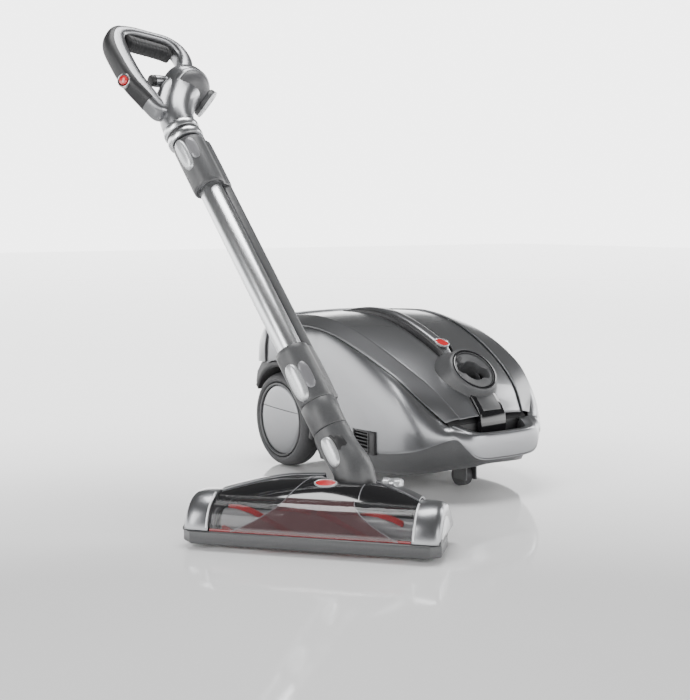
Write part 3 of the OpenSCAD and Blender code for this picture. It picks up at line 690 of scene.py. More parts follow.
def make_port():
    skirt = [(33.4, 0.6), (35, 1.2), (38.6, 1.0), (40.6, -0.6), (42.4, -4), (45.4, -10), (49.5, -17),
             (54.5, -24), (54.5, -30), (50, -31), (34, -30), (33.4, -28)]
    ring = lathe("port_skirt", skirt, PORT, bevel=0.5, angle=45)
    finish_piece(ring, "lid", "charcoal", "port_ring")
    gap_ring = lathe("port_gap", [(33.6, -0.8), (37.4, -0.6), (37.4, 1.5), (35.4, 1.9), (33.9, 1.4)], PORT)
    finish_piece(gap_ring, "lid", "black_gloss")
    rings = []
    for a in full_turn(144):
        lobe = sum(math.exp(-((math.degrees(abs((a - c + math.pi) % (2 * math.pi) - math.pi))) / 27) ** 4)
                   for c in (math.radians(-20), math.radians(160)))
        r = 18 + 10.5 * lobe
        profile = [(r + 1.2, -1.0), (32.2, -1.0), (33.0, -1.8), (33.0, -7), (r + 3, -7), (r + 3, -16),
                   (r, -16), (r, -2.2), (r + 0.4, -1.4)]
        rings.append([(q * math.cos(a), q * math.sin(a), z) for q, z in profile])
    disc = loft("inlet_disc", rings, PORT, closed=True)
    tube = lathe("inlet_tube", [(18, -16), (21, -16), (21, -48), (18, -48)], PORT, bevel=0.4)
    finish_piece(joined("hose_inlet_disc", [disc, tube]), "lid", "charcoal", "hose_inlet")
    cover = loft("socket_cover", [[(x * k, 27.2 + y * k, z) for x, y in superellipse(7.5, 3.6, 2.4, 28)]
                                  for z, k in ((-1.4, 1), (-0.4, 1), (0.3, 0.94), (0.5, 0.8))],
                 tipped(PORT, 35, "Z"))
    finish_piece(cover, "lid", "black")


def add_badge(body, place, rim, disc):
    """A red disc in a bright rim, each from its profile."""
    finish_piece(lathe("badge_rim", rim, place, count=72), body, "light_grey")
    finish_piece(lathe("badge_disc", disc, place, count=72), body, "red_button")


def bar_rows(x0, x1, y0, y1, lift, taper, count=60):
    """A bar lying on the lid from y0 to y1: rings with a flat foot and a rounded top."""
    rings = []
    for y in np.linspace(y0, y1, count):
        t = (y - y0) / (y1 - y0)
        rise = lift * min(1, (1 - t) / taper) ** 0.6 if t < 1 else 0.02
        rise *= min(1, 0.15 + t / 0.06) if t < 0.06 else 1
        mid, half = (x0 + x1) / 2, (x1 - x0) / 2
        ring = []
        for u in np.linspace(-1, 1, 13):
            x = mid + half * u
            ring.append((x, y, lid_height(x, y) - 1 + (rise + 1) * (1 - abs(u) ** 5 * 0.55)))
        ring += [(x0 + (x1 - x0) * k, y, lid_height(mid, y) - 2.5) for k in (1, 0.5, 0)]
        rings.append(ring)
    return rings


def make_handle_bar():
    top = loft("handle_bar", bar_rows(-11.5, 11.5, -250, 12, 12, 0.5), CANISTER, bevel=0.4, angle=60)
    finish_piece(top, "lid", "silver_paint", "carry_handle")
    # the black strips either side of the silver bar are painted shadow: dark pieces put where there is only the
    # shade under the handle, the left one wider and taller than the right
    left = loft("handle_shadow_side_left", bar_rows(-19, -11.8, -262, 6, 10.5, 0.75), CANISTER, bevel=0.4,
                angle=60)
    finish_piece(left, "lid", "black", "handle_sides")
    right = loft("handle_shadow_side_right", bar_rows(11.8, 17, -256, 6, 9, 0.75), CANISTER, bevel=0.4, angle=60)
    finish_piece(right, "lid", "black")
    slope = math.degrees(math.atan2(lid_height(0, -232) - lid_height(0, -240), 8))
    add_badge("lid", tipped(moved(CANISTER, 0, -236, lid_height(0, -236) + 11.3), slope, "X"),
              [(10.4, -1.5), (12, -1.5), (12, 1.3), (11.2, 1.9), (10.4, 1.3)],
              [(0.01, -1.5), (10.4, -1.5), (10.4, 1.0), (8, 1.5), (0.01, 1.7)])


def over_lid(y, lift):
    """A point of the middle plane at a height over the lid, in (Y, Z)."""
    return y, lid_height(0, y) + lift


def make_latch():
    outline = [over_lid(-322.5, -6), over_lid(-322.5, 1.5), over_lid(-325, 3), over_lid(-336, 4.5),
               over_lid(-349, 5), (-355, 119), (-357, 104), (-355, 88), (-347, 88), (-345, 112),
               over_lid(-336, -8)]
    body = prism("latch_body", outline, -25, 25, CANISTER, bevel=1.6, segments=4)
    finish_piece(body, "latch", "black_gloss", "latch_button")
    face = [over_lid(-334, 2.2), over_lid(-334, 5.0), over_lid(-349.5, 6.4),
            (-351.5, over_lid(-349.5, 1)[1])]
    plate = prism("latch_plate", face, -17, 19, CANISTER, bevel=0.6)
    finish_piece(plate, "latch", "charcoal")
    step = [over_lid(-323.5, 1), over_lid(-323.5, 4.6), over_lid(-331.5, 5.4), over_lid(-331.5, 2)]
    hood = prism("latch_step", step, -17, 19, CANISTER, bevel=0.8)
    finish_piece(hood, "latch", "charcoal")


# Bars and backing plate of a side louvre: x0, x1, y0, y1, z0, z1 and the bevel
LOUVRE_BARS = [(143, 150.3, -258, -244, 58.5, 93.5, 0.8), (146, 151.5, -210, -206, 58.5, 93.5, 0.8),
               (144, 150.7, -256, -208, 58.5, 62, 0.8), (144, 150.7, -256, -208, 90, 93.5, 0.8),
               (144, 151.3, -246, -243.4, 60, 92, 0.5), (138, 141, -256, -207, 59, 92, 0.3)]


def make_vents():
    for side, name in SIDES:
        parts = [block("bar", (side * x0, y0, z0), (side * x1, y1, z1), CANISTER, bevel)
                 for x0, x1, y0, y1, z0, z1, bevel in LOUVRE_BARS]
        for k in range(5):
            z = 64.5 + 5.4 * k
            slat = [(-245, z), (-245, z + 2.2), (-209, z + 2.2), (-209, z)]
            parts.append(prism("slat", slat, side * 144, side * 150, CANISTER, bevel=0.4))
        louvre = joined(f"side_louvre_{name}", parts)
        finish_piece(louvre, "canister", "black", *once(side, "side_vents"))


def make_wheels():
    for side, name in SIDES:
        place = tipped(moved(CANISTER, 0, 0, AXLE_Z), 90 * side, "Y")
        tread = [(61.5, 112), (66, 110.5), (71, 112), (75.5, 115.5), (77.6, 120), (78, 127), (78, 136),
                 (77.2, 142), (74.8, 147.2), (71.3, 150.4), (67.4, 151.8), (64.6, 151.6), (63.2, 150.6),
                 (62.4, 148.4), (61.5, 146)]
        tyre = lathe(f"tyre_{name}_tread", tread, place, count=120)
        grooves = lathe("groove", [(77.4, 128.6), (78.6, 128.6), (78.6, 129.8), (77.4, 129.8)], place,
                        count=120)
        cut(tyre, grooves)
        finish_piece(tyre, f"{name}_wheel", "tyre", f"tyre_{name}")
        collar = lathe(f"wheel_ring_{name}", [(57.2, 144), (61.3, 144), (61.3, 149.8), (60.4, 151.0),
                                              (58.6, 151.2), (57.2, 150.0)], place, count=120)
        finish_piece(collar, f"{name}_wheel", "charcoal")
        dome = [(0.01, 152.2), (14, 152.0), (28, 151.5), (40, 150.8), (50, 149.9), (54.5, 149.2),
                (56.4, 148.2), (56.6, 146), (56.6, 116), (12, 113), (12, 107), (6.05, 107), (6.05, 149),
                (0.01, 149)]
        cap = lathe(f"hub_cap_{name}", dome, place, count=120)
        finish_piece(cap, f"{name}_wheel", "silver_paint", f"hub_{name}")
        # the split line across the cap, above its middle
        line = [(side * (152.35 - 0.0009 * y * y), y, AXLE_Z + 18 + 0.03 * y)
                for y in np.linspace(-54, 54, 40)]
        rows = [[(x + side * 0.12, y, z - 0.5), (x + side * 0.12, y, z + 0.5), (x - side * 1.2, y, z + 0.5),
                 (x - side * 1.2, y, z - 0.5)] for x, y, z in line]
        finish_piece(loft(f"hub_split_{name}", rows, CANISTER), f"{name}_wheel", "black")


def make_bag():
    """Paper bag with folded sides, under the port's holder."""
    port = CANISTER.inverted() @ PORT
    normal, foot = port.col[2].xyz, port @ Vector((0, 0, -57.5 * MM))

    def roof(x, y):
        plane = (foot.z - (normal.x * (x * MM - foot.x) + normal.y * (y * MM - foot.y)) / normal.z) / MM
        return min(lid_height(x, y) - 31, plane)

    rings = []
    for k, y in enumerate(np.linspace(-318, -108, 141)):
        end = min(1, (min(k, 140 - k) / 14 + 0.05)) ** 0.5
        fold = 2.2 * math.cos(k * math.pi / 5)
        ring = []
        for u, v in superellipse(1, 1, 5, 56):
            x = (78 * (0.86 + 0.14 * end) + fold) * u
            top = roof(x, y) - 3
            middle, half = (66 + top) / 2, (top - 66) / 2 * (0.72 + 0.28 * end) + 0.5 * fold
            ring.append((x, y, middle + half * v))
        rings.append(ring)
    finish_piece(loft("pleated_bag", rings, CANISTER), "canister", "paper", "dust_bag")


make_lid()
make_bag()
make_bands()
make_body()
make_base()
make_fenders()
make_rear_cover()
make_port()
make_handle_bar()
make_latch()
make_vents()
make_wheels()


# ---------- floor head ----------
HEAD_HALF = 164.5
WINDOW_HALF = 128.6
NOSE_AT = (50, 17)


def nose_arc(radius, start=172, end=99, count=24):
    """The head's rounded front, in (Y, Z), round the brush."""
    a = np.radians(np.linspace(start, end, count))
    return np.column_stack([NOSE_AT[0] + radius * np.cos(a), NOSE_AT[1] + radius * np.sin(a)])


def make_head_base():
    half, corner = HEAD_HALF, 12.5
    plan = [(-half + corner, 0), (half - corner, 0), (half, corner), (half, 58), (half - 22, 76),
            (half - 42, 118), (100, 148), (-100, 148), (42 - half, 118), (22 - half, 76), (-half, 58),
            (-half, corner)]
    rings = []
    for z, inset in ((6, 2.5), (7.2, 0.8), (9, 0), (19.5, 0), (21.6, 0.7), (22.7, 2.4)):
        rings.append([(x * (1 - inset / half), 75 + (y - 75) * (1 - inset / 75), z) for x, y in plan])
    slab = loft("head_slab", rings, HEAD, bevel=2.2, segments=4, angle=24)
    cut(slab, block("cutter", (-143, 9, 0), (143, 68, 60), HEAD),
        block("cutter", (-118, 74, 12), (118, 138, 60), HEAD))
    ears = [prism("ear", [(8, 21), (8, 25.5), (14, 28), (54, 28), (60, 24), (60, 21)], s * 158.5, s * 164.3,
                  HEAD, bevel=1.4, segments=4) for s in (-1, 1)]
    tray = block("tray", (-116, 74, 8), (116, 139, 46), HEAD, 2)
    cut(tray, block("cutter", (-113, 77, 11), (113, 136, 70), HEAD),
        block("cutter", (-25, 100, 20), (84, 170, 70), HEAD))
    ribs = [block("rib", (s * 145 - 2, 26, 16), (s * 145 + 2, 50, 40), HEAD, 0.5) for s in (-1, 1)]
    lugs = [block("lug", (x - 3.5, 108, 10), (x + 3.5, 128, 51), HEAD, 1) for x in (-16, 78)]
    finish_piece(joined("head_slab_and_tray", [slab, tray, *ears, *ribs, *lugs]), "head", "charcoal",
                 "head_base")


def cover_rear(x):
    """Back edge of the black cover: it runs in from the ends towards the neck."""
    t = min(1, max(0, (129 - abs(x)) / 88))
    return 54 + 62 * t ** 0.85


def cover_height(x, y):
    ridge = 1 - min(1, abs(x) / 134) ** 1.5
    climb = min(1, max(0, (y - 44) / 52))
    fall = max(0, y - 104) / 46
    return 61.2 + (3.5 + 13 * ridge) * (climb * (2 - climb)) - 15 * fall ** 1.7


def make_head_cover():
    rows = []
    for x in np.linspace(-128.6, 128.6, 97):
        rear = cover_rear(x) if abs(x) > 1 else cover_rear(1)
        y = 44 + (rear - 44) * np.linspace(0, 1, 31)
        top = [(x, v, cover_height(x, v)) for v in y]
        rows.append([(x, 44.5, 54), (x, 43.8, 57.5), (x, 43.6, 60)] + top)
    cover = sheet("head_cover_shell", rows, HEAD, solid=2.4, bevel=0.7, angle=50, flip=True)
    cut(cover, disc_cutter(43, 40, 95, NECK_HOLE))
    finish_piece(cover, "head", "black_gloss", "head_cover")
    # raised lines that frame the middle of the cover
    for side, name in SIDES[::-1]:
        points = []
        for t in np.linspace(0, 1, 34):
            x = 8 + side * (36 + 10 * t * t) + 12 * (1 - t)
            y = 45 + (cover_rear(x) - 47) * (1 - t)
            if math.hypot(x - 31, y - 126) > 44.5:
                points.append((x, y, cover_height(x, y) + 0.5))
        finish_piece(ribbon(f"cover_line_{name}", points, 0.7, 0.9, HEAD), "head", "black_gloss",
                     material="smoked_grey")
    oval = Matrix.Diagonal((1.35, 1, 1, 1))
    add_badge("head", tipped(moved(HEAD, 4, 76, cover_height(4, 76) + 0.2), 12, "X") @ oval,
              [(9.6, -1), (11.2, -1), (11.2, 0.6), (10.4, 1.1), (9.6, 0.6)],
              [(0.01, -1), (9.6, -1), (9.6, 0.4), (7, 0.9), (0.01, 1.1)])
    strip = prism("cover_slot", [(41.4, 54.5), (41.2, 60.4), (43.6, 61.6), (44.6, 56)], -24, 34, HEAD,
                  bevel=0.7)
    finish_piece(strip, "head", "charcoal")


def make_shoulders():
    """The silver housing behind the black cover, left and right of the neck."""
    for side, name in SIDES[::-1]:
        rows = []
        for x in np.linspace(128.8, 36 if side > 0 else 0, 49):
            x0 = side * x
            start = cover_rear(x0) + 0.5
            end = 118 + 28 * min(1, (129 - x) / 30) ** 0.6
            row = []
            for t in np.linspace(0, 1, 21):
                y = start + (end - start) * t
                drop = (cover_height(x0, start) - 0.4 - 26) * t ** 2.6
                arch = 2.2 * math.sin(math.pi * min(1, 1.3 * t))
                row.append((x0, y, cover_height(x0, start) - 0.4 + arch - drop))
            rows.append(row)
        shell = sheet(f"head_shoulder_{name}", rows, HEAD, solid=2.4, bevel=0.7, angle=50, flip=side > 0)
        cut(shell, disc_cutter(40, 20, 95, NECK_HOLE), block("cutter", (74, 96, 20), (94, 160, 90), HEAD))
        finish_piece(shell, "head", "silver_paint")


def cap_outline(shrink=0.0, count=24):
    """The end cap's side view: round nose, falling back."""
    front = nose_arc(47.5 - shrink, 172, 96, count)
    back = bezier((52, 64.3 - shrink), (78 - shrink, 65 - shrink), (104 - shrink, 54 - shrink),
                  (116 - shrink, 23), 18)
    return np.vstack([[(4.5 + shrink, 23)], front, back[1:]])


def make_end_caps():
    for side, name in SIDES[::-1]:
        rings = []
        for x, shrink in ((129.2, 1.2), (129.2, 0.3), (130, 0), (148, -0.2), (155, 0.6), (159, 2.2),
                          (161.6, 4.6), (163, 7.6), (163.4, 11)):
            ring = cap_outline(shrink)
            rings.append([(side * x, y, z) for y, z in ring])
        cap = loft(f"end_cap_{name}", rings, HEAD, bevel=0.5, angle=60)
        finish_piece(cap, "head", "silver_paint", *once(side, "end_caps"))
        inset = cap_outline(12)
        centre = inset.mean(axis=0) - (6, 0)
        rings = []
        for x, scale in ((162.6, 0.80), (163.6, 0.80), (164.3, 0.76), (164.6, 0.66)):
            rings.append([(side * x, *(centre + (p - inset.mean(axis=0)) * (0.86 * scale, scale)))
                          for p in inset])
        panel = loft(f"cap_inset_{name}", rings, HEAD, bevel=0.3, angle=60)
        finish_piece(panel, "head", "light_grey", material="pearl")
        # pale lip along the window's end: a painted highlight on the cap's inner edge, in the near-white pearl
        # material
        lip = [[(side * x, y, z) for x, (y, z) in zip((130.2, 132.4, 132.4, 130.2), (p, p, q, q))]
               for p, q in zip(nose_arc(48.3, 168, 100, 30), nose_arc(46.5, 168, 100, 30))]
        finish_piece(loft(f"cap_highlight_lip_{name}", lip, HEAD, bevel=0.4), "head", "light_grey", material="pearl")


def make_window():
    outer, inner = nose_arc(44.2), nose_arc(42)
    outline = np.vstack([outer, inner[::-1]])
    outline[:, 1] = np.maximum(outline[:, 1], 22.9)
    pane = prism("window_pane", outline, -WINDOW_HALF, WINDOW_HALF, HEAD, bevel=0.3, angle=50)
    finish_piece(pane, "head", "smoked_window", "head_window")
    rows = []
    for t, a in zip(np.linspace(0, 1, 41), np.radians(np.linspace(99, 171.5, 41))):
        half = 44 + 62 * t ** 2.1
        rows.append([(6 + half * u, NOSE_AT[0] + 44.7 * math.cos(a),
                      max(23, NOSE_AT[1] + 44.7 * math.sin(a))) for u in np.linspace(-1, 1, 33)])
    rows = np.array(rows)
    centre = sheet("window_centre", rows, HEAD, solid=0.9, flip=False)
    finish_piece(centre, "head", "smoked_window", material="tinted_window")
    for k, name in ((0, "left"), (-1, "right")):
        edge = rows[:, k]
        out = edge - np.array([edge[:, 0], np.full(41, NOSE_AT[0]), np.full(41, NOSE_AT[1])]).T
        out /= np.linalg.norm(out, axis=1)[:, None]
        along = np.gradient(edge, axis=0)
        cross = np.cross(along, out)
        cross /= np.linalg.norm(cross, axis=1)[:, None]
        rings = [[e + c * 0.8, e + c * 0.8 + o * 0.7, e - c * 0.8 + o * 0.7, e - c * 0.8]
                 for e, c, o in zip(edge, cross, out)]
        finish_piece(loft(f"window_line_{name}", rings, HEAD, bevel=0.25), "head", "black_gloss",
                     material="smoked_grey")
    sill = prism("window_sill", [(5.2, 22.6), (5.4, 25.6), (6.8, 25.9), (8.4, 24), (8.4, 22.6)], -128, 128,
                 HEAD, bevel=0.5)
    finish_piece(sill, "head", "red_button", material="dark_red")


def make_brush():
    core = [(0.01, -140), (17, -140), (18, -139), (18, -127), (10.5, -127), (10.5, -118), (18, -118),
            (18, 139), (17, 140), (0.01, 140)]
    roll = lathe("brush_core", core, BRUSH_AXIS, count=64)
    pins = [lathe("pin", [(0.01, s * 139), (4, s * 139), (4, s * 149), (0.01, s * 149)], BRUSH_AXIS,
                  count=32) for s in (-1, 1)]
    finish_piece(joined("brush_roll_core", [roll, *pins]), "brush", "charcoal", "brush_roll",
                 material="roll_grey")
    tufts = []
    for side in (-1, 1):
        for start in (0, 120, 240):
            for i in range(34):
                along = side * (6 + 3.25 * i)
                turn = math.radians(start + 70 + side * 4.6 * i)
                tufts.append((along, turn))
    verts, faces = [], []
    for along, turn in tufts:
        for k in range(5):
            dx = -1.3 + 0.65 * k + random.uniform(-0.15, 0.15)
            for m in range(4):
                dt = turn + math.radians(-8 + 5 * m + random.uniform(-1.5, 1.5))
                reach = 22.6 + random.uniform(-0.8, 0.3)
                base = len(verts)
                for r, w in ((17.5, 0.42), (reach, 0.22)):
                    for u, v in ((-1, -1), (1, -1), (1, 1), (-1, 1)):
                        a = dt + v * w / r
                        verts.append((r * math.cos(a), r * math.sin(a), along + dx + u * w))
                faces += [[base + c, base + (c + 1) % 4, base + 4 + (c + 1) % 4, base + 4 + c]
                          for c in range(4)]
                faces += [[base, base + 3, base + 2, base + 1], [base + 4, base + 5, base + 6, base + 7]]
    tuft_piece = build("bristle_tufts", verts, faces, BRUSH_AXIS)
    finish_piece(tuft_piece, "brush", "bristle")


def make_pedal():
    base = prism("pedal_base", [(100, 64), (100, 70), (104, 74.5), (122, 76), (126, 73), (126, 66)], 72, 96,
                 HEAD, bevel=2.4, segments=4)
    prongs = []
    for x in (76, 91):
        outline = [(98, 66), (97, 72), (101, 77.5), (109, 79.5), (116, 77), (118, 70)]
        prongs.append(prism("prong", outline, x - 4.5, x + 4.5, HEAD, bevel=2, segments=4))
    finish_piece(joined("release_pedal_pad", [base, *prongs]), "release_pedal", "light_grey",
                 "release_pedal")


# ---------- neck and wand ----------
UP_IN_WAND = np.array(WAND.to_3x3().inverted() @ UP)


def make_neck():
    path = bezier(UP_IN_WAND * -7.2, UP_IN_WAND * 20, (0, 0, 24), (0, 0, 58), 26)
    path = np.vstack([path, [(0, 0, 68), (0, 0, 75.2), (0, 0, 75.9)]])
    t = np.linspace(0, 1, 26)
    radii = np.concatenate([28.6 - 3.7 * t ** 0.6, [24.9, 24.7, 24.0]])
    radii[0] = 27.5
    elbow = sweep("neck_elbow_body", path, radii, WAND)
    finish_piece(elbow, "wand", "charcoal", "neck_elbow")
    collar = lathe("neck_collar", [(24, 60), (26.8, 60), (27, 61), (27, 62), (24, 62)], NECK_HOLE)
    finish_piece(collar, "yoke", "charcoal")
    socket = loft("neck_button_well", [[(x * 1.16 - 1.5, y, 42 + (z - 42) * 1.1) for x, y, z in ring]
                                       for ring in button_rings(9.9, 22, 24.2, 1.8, 42)], WAND)
    finish_piece(socket, "wand", "black")
    add_button("neck_button", 9.9, 22, 25.4, 6.0, 42)
    add_flank("neck_button", 24, 36, 25.8, 126, "black")


def button_rings(half_x, half_z, foot, rise, mid_z, power=2.7, count=40, turn=16):
    """A domed oval button standing out of the tube, its middle a little round from +Y."""
    c, s = math.cos(math.radians(turn)), math.sin(math.radians(turn))
    rings = []
    for k, scale in ((-0.7, 1.0), (0, 1.0), (0.55, 0.985), (0.85, 0.93), (1.0, 0.80), (1.06, 0.5),
                     (1.08, 0.12)):
        ring = []
        for x, z in superellipse(half_x * scale, half_z * scale, power, count):
            y = math.sqrt(max(foot ** 2 - (x * 0.9) ** 2, 1)) - 2.5 + (rise * k if k > 0 else k)
            ring.append((x * c - y * s, x * s + y * c, mid_z + z))
        rings.append(ring)
    return rings


def add_button(node, *sizes):
    """A button's pad on its own body, from the sizes that button_rings takes."""
    finish_piece(loft(node + "_pad", button_rings(*sizes), WAND), node, "light_grey", node)


def add_flank(button, half_z, mid_z, foot, start, slot, material=None):
    """Darker cheek beside a button, on the near side of the tube."""
    rings = []
    for lift, scale in ((-2, 1.0), (0.6, 1.0), (1.6, 0.9), (1.9, 0.55)):
        ring = []
        for u, z in superellipse(0.33 * scale, half_z * 0.78 * scale, 2.4, 32):
            a = math.radians(start) + 0.33 + u
            ring.append(((foot - 1 + lift) * math.cos(a), (foot - 1 + lift) * math.sin(a), mid_z + z + 4))
        rings.append(ring)
    finish_piece(loft(button + "_flank", rings, WAND), "wand", slot, material=material)


def housing(radius, half, tip, count=56):
    """Section of a coupling: a round tube with a rounded ridge out along -Y."""
    ring = []
    for a in full_turn(count):
        c, s = math.cos(a), math.sin(a)
        r = radius
        if s < 0:
            # the ridge is a superellipse reaching down to tip, blended into the tube
            ridge = (abs(c / half) ** 3.2 + abs(s / tip) ** 3.2) ** (-1 / 3.2)
            blend = (radius ** 9 + min(ridge, tip) ** 9) ** (1 / 9)
            if ridge > radius:
                r = min(blend, tip)
            elif ridge >= radius * 0.9:
                r = blend
        ring.append((r * c, r * s))
    return np.array(ring)


def ridge_rings(levels, half):
    """Rings up the wand from (z, radius, ridge tip)."""
    return [[(x, y, z) for x, y in housing(radius, half, tip)] for z, radius, tip in levels]


def make_lower_coupling():
    body = ridge_rings([(76.6, 23.6, 23.7), (77.2, 24.3, 24.4), (78.5, 24.6, 24.8), (100, 24.7, 27),
                        (116.5, 24.6, 31), (117.4, 23.9, 32)], 13.5)
    ring = loft("lower_coupling_ring", body, WAND)
    upper = ridge_rings([(118.4, 23.5, 33), (119.2, 24.2, 35), (121, 24.4, 36.5), (150, 24.2, 38),
                         (180, 24.0, 38), (196, 23.8, 37), (202.5, 23.4, 36), (204, 22.2, 34.5)], 12.5)
    tube = loft("lower_coupling_tube", upper, WAND)
    gap = lathe("gap", [(20, 117), (23.4, 117), (23.4, 119), (20, 119)], WAND)
    finish_piece(joined("lower_coupling_body", [ring, tube]), "wand", "charcoal", "lower_coupling")
    finish_piece(gap, "wand", "black")
    add_button("coupling_button", 10.8, 28.5, 25.6, 6.2, 150)
    add_flank("coupling_button", 26, 150, 25.2, 127, "light_grey", material="mid_grey")


def make_tubes():
    outer = lathe("chrome_tube", [(16, 120), (17.5, 120), (17.5, 499.4), (17.1, 500), (16.3, 500),
                                  (16, 499.4)], WAND)
    finish_piece(outer, "wand", "chrome", "outer_tube")
    inner = lathe("inner_chrome_tube", [(14.1, 250), (15.6, 250), (15.6, 600), (14.1, 600)], WAND)
    finish_piece(inner, "grip", "chrome", "inner_tube")


def make_conduits():
    rings = [[(x, -27 + y, z) for x, y in superellipse(8.6 * k, 8.8 * k, 4.5, 40)]
             for z, k in ((151, 0.94), (152, 1), (486.5, 1), (488, 0.94))]
    finish_piece(loft("lower_conduit_sleeve", rings, WAND), "wand", "charcoal", "lower_conduit")
    rings = [[(x, -27 + y, z) for x, y in superellipse(6.0, 6.0, 4.5, 40)] for z in (240, 620)]
    finish_piece(loft("upper_conduit_core", rings, WAND), "grip", "black", "upper_conduit")


def make_upper_coupling():
    levels = [(488, 22.4, 36), (489.4, 23.6, 38), (493, 24.0, 39.5), (530, 24.0, 40), (566, 23.9, 39.5),
              (572.8, 23.4, 38.5), (574, 22.4, 37)]
    body = loft("upper_coupling_body", ridge_rings(levels, 12), WAND)
    finish_piece(body, "wand", "charcoal", "upper_coupling")
    add_button("slide_button", 9.6, 26.5, 25.0, 5.6, 546)
    add_flank("slide_button", 24, 546, 24.8, 127, "light_grey", material="mid_grey")


# ---------- handle ----------
def make_collar():
    profile = [(15.2, 576), (24.5, 576), (26.6, 577.2), (27.4, 580), (27.4, 584), (26.4, 586.4),
               (24.6, 587.4), (24.6, 592), (26.6, 593), (27.6, 595.8), (27.6, 600), (26.4, 603), (24, 604),
               (15.2, 604)]
    finish_piece(lathe("chrome_collar", profile, WAND), "grip", "chrome", "collar_ring")
    band = lathe("collar_gap", [(24.7, 587.6), (25.2, 587.6), (25.2, 591.8), (24.7, 591.8)], WAND)
    finish_piece(band, "grip", "black")


def make_hub():
    path = bezier((0, 0, 604.4), (0, 1, 634), (0, -22, 655), HUB, 26)
    radii = list(25.4 + 0.4 * np.linspace(0, 1, 14)) + list(25.8 + 10.2 * np.linspace(0, 1, 13)[1:] ** 2)
    along = path[-1] - path[-2]
    along /= np.linalg.norm(along)
    path, radii = list(path), list(radii)
    for a in np.radians(np.linspace(8, 88, 12)):
        path.append(HUB + along * 36 * math.sin(a))
        radii.append(36 * math.cos(a))
    bulb = sweep("handle_hub_bulb", path, radii, WAND)
    finish_piece(bulb, "grip", "silver_paint", "handle_hub")
    face = facing(moved(WAND, *HUB), (-0.70, 0.13, -0.70))
    cap = lathe("hub_face", [(0.01, 38.0), (10, 37.4), (18, 35.2), (23.5, 31.6), (26.6, 27.4), (27.4, 24.4),
                             (27, 20), (0.01, 20)], face, count=96)
    finish_piece(cap, "grip", "charcoal", "hub_cap", material="hub_grey")
    trim = lathe("hub_face_ring", [(27.2, 25.6), (28.8, 25.2), (30.6, 22.6), (31.2, 19.6), (30.2, 17.5),
                                   (27.2, 17.5)], face, count=96)
    finish_piece(trim, "grip", "silver_paint")


# Middle line of the closed grip in (Y, Z), with its half width across that line and its half depth along X
GRIP = [(22, 636, 12, 15), (34, 664, 14.5, 15), (44, 694, 17.5, 14.5), (47.5, 730, 18.5, 14),
        (46.5, 762, 18, 14), (35, 786, 13, 14), (12, 792.5, 9, 14), (-22, 787.5, 8, 14),
        (-50, 780.5, 8.5, 14.5), (-67, 765, 10, 14.5), (-70, 742, 11.5, 14.5), (-60, 720, 12, 14),
        (-38, 700, 13, 14), (-12, 680, 13, 15), (8, 654, 13, 15)]
GRIP_COUNT = 180


def grip_frames():
    line = through(GRIP, GRIP_COUNT, closed=True)
    centre = np.column_stack([np.zeros(GRIP_COUNT), line[:, 0], line[:, 1]])
    along = (np.roll(centre, -1, axis=0) - np.roll(centre, 1, axis=0))
    along /= np.linalg.norm(along, axis=1)[:, None]
    out = np.cross(along, (1, 0, 0))
    middle = np.array((0, -5, 735))
    if ((centre[40] - middle) * out[40]).sum() < 0:
        out = -out
    return centre, out, line[:, 2], line[:, 3]


def grip_ring(c, o, a, b, angles, power=2.9, grow=0.0):
    ring = []
    for t in angles:
        u, v = math.cos(t), math.sin(t)
        u = math.copysign(abs(u) ** (2 / power), u)
        v = math.copysign(abs(v) ** (2 / power), v)
        ring.append(c + o * (a + grow) * u + np.array((1, 0, 0)) * (b + grow) * v)
    return ring


def make_grip():
    centre, out, wide, deep = grip_frames()
    full = full_turn(40)
    rings = [grip_ring(c, o, a, b, full) for c, o, a, b in zip(centre, out, wide, deep)]
    loop = loft("grip_loop", rings, WAND, closed=True)
    finish_piece(loop, "grip", "silver_paint", "handle_loop")
    # black outer strip from below the switch, round the corner
    first, last = 8, 66
    rows = [grip_ring(centre[i], out[i], wide[i], deep[i], np.linspace(-1.32, 1.32, 27), grow=0.5)
            for i in range(first, last)]
    strip = sheet("grip_strip", rows, WAND, solid=1.6, bevel=0.5, angle=50, flip=True)
    finish_piece(strip, "grip", "black")


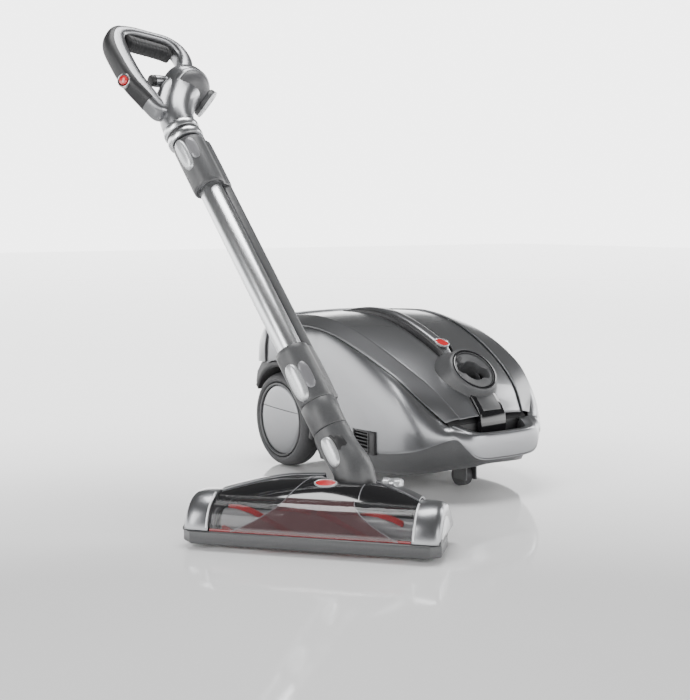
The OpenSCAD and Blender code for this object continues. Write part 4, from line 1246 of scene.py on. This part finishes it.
def make_grip_pad():
    spine = through([(24, 776), (8, 772), (-16, 767), (-36, 762), (-48, 757)], 60)
    rings = []
    for k, (y, z) in enumerate(spine):
        t = k / 59
        end = min(1, (min(t, 1 - t) * 14) ** 0.5)
        rib = 0.35 * math.cos(t * 2 * math.pi * 16)
        section = superellipse(12.2 * (0.55 + 0.45 * end) + rib, (9.5 + rib) * (0.3 + 0.7 * end), 3, 36)
        rings.append([(x, y + 0.25 * v, z + v) for x, v in section])
    finish_piece(loft("grip_pad_ribbed", rings, WAND), "grip", "black", "grip_pad")


def make_switch():
    place = facing(moved(WAND, -2, 61.5, 692), (-0.45, 0.88, -0.12))
    cap = lathe("switch_dome", [(0.01, -6), (6.9, -6), (7.1, 2.2), (6.4, 3.6), (4.6, 4.4), (2.3, 4.7),
                                (0.01, 4.8)], place, count=64)
    finish_piece(cap, "switch", "red_button", "switch_button")
    ring = lathe("switch_ring", [(8.5, -8), (10.8, -8), (11, 0.2), (10.5, 2.0), (9.6, 2.6), (8.5, 2.0)],
                 place, count=64)
    finish_piece(ring, "grip", "chrome")


def make_socket():
    profile = [(18, 12), (20.4, 12), (20.4, 32), (22.6, 33.4), (23.2, 36), (23.2, 40), (22.4, 42),
               (20.6, 42.6), (18.6, 42), (18, 40)]
    finish_piece(lathe("hose_socket_ring", profile, SOCKET), "hose_socket", "charcoal", "hose_socket")
    # pale ring round the socket's mouth: a painted highlight on the rim, in the near-white pearl material
    lip = lathe("hose_socket_highlight_lip", [(18.8, 42.2), (22.2, 41.9), (23.3, 40), (23.9, 40.6), (23.4, 43.4),
                                    (21, 44.4), (19, 43.8)], SOCKET)
    finish_piece(lip, "hose_socket", "light_grey", material="pearl")


def make_knob():
    place = tipped(moved(WAND, 0, 0, 699), -90, "X")
    barrel = lathe("bleed_barrel", [(0.01, -24), (4, -24), (4, -17), (8.6, -17), (9.2, -15), (9.4, 3),
                                    (9, 4.2), (0.01, 4.2)], place, count=64)
    finish_piece(barrel, "bleed_knob", "silver_paint", "bleed_knob")
    end = lathe("bleed_end", [(0.01, 4.2), (8.8, 4.2), (9, 5.2), (8.8, 9.5), (7.4, 11.4), (4, 12),
                              (0.01, 12.1)], place, count=64)
    finish_piece(end, "bleed_knob", "black")


make_head_base()
make_head_cover()
make_shoulders()
make_end_caps()
make_window()
make_brush()
make_pedal()
make_neck()
make_lower_coupling()
make_tubes()
make_conduits()
make_upper_coupling()
make_collar()
make_hub()
make_grip()
make_grip_pad()
make_switch()
make_socket()
make_knob()
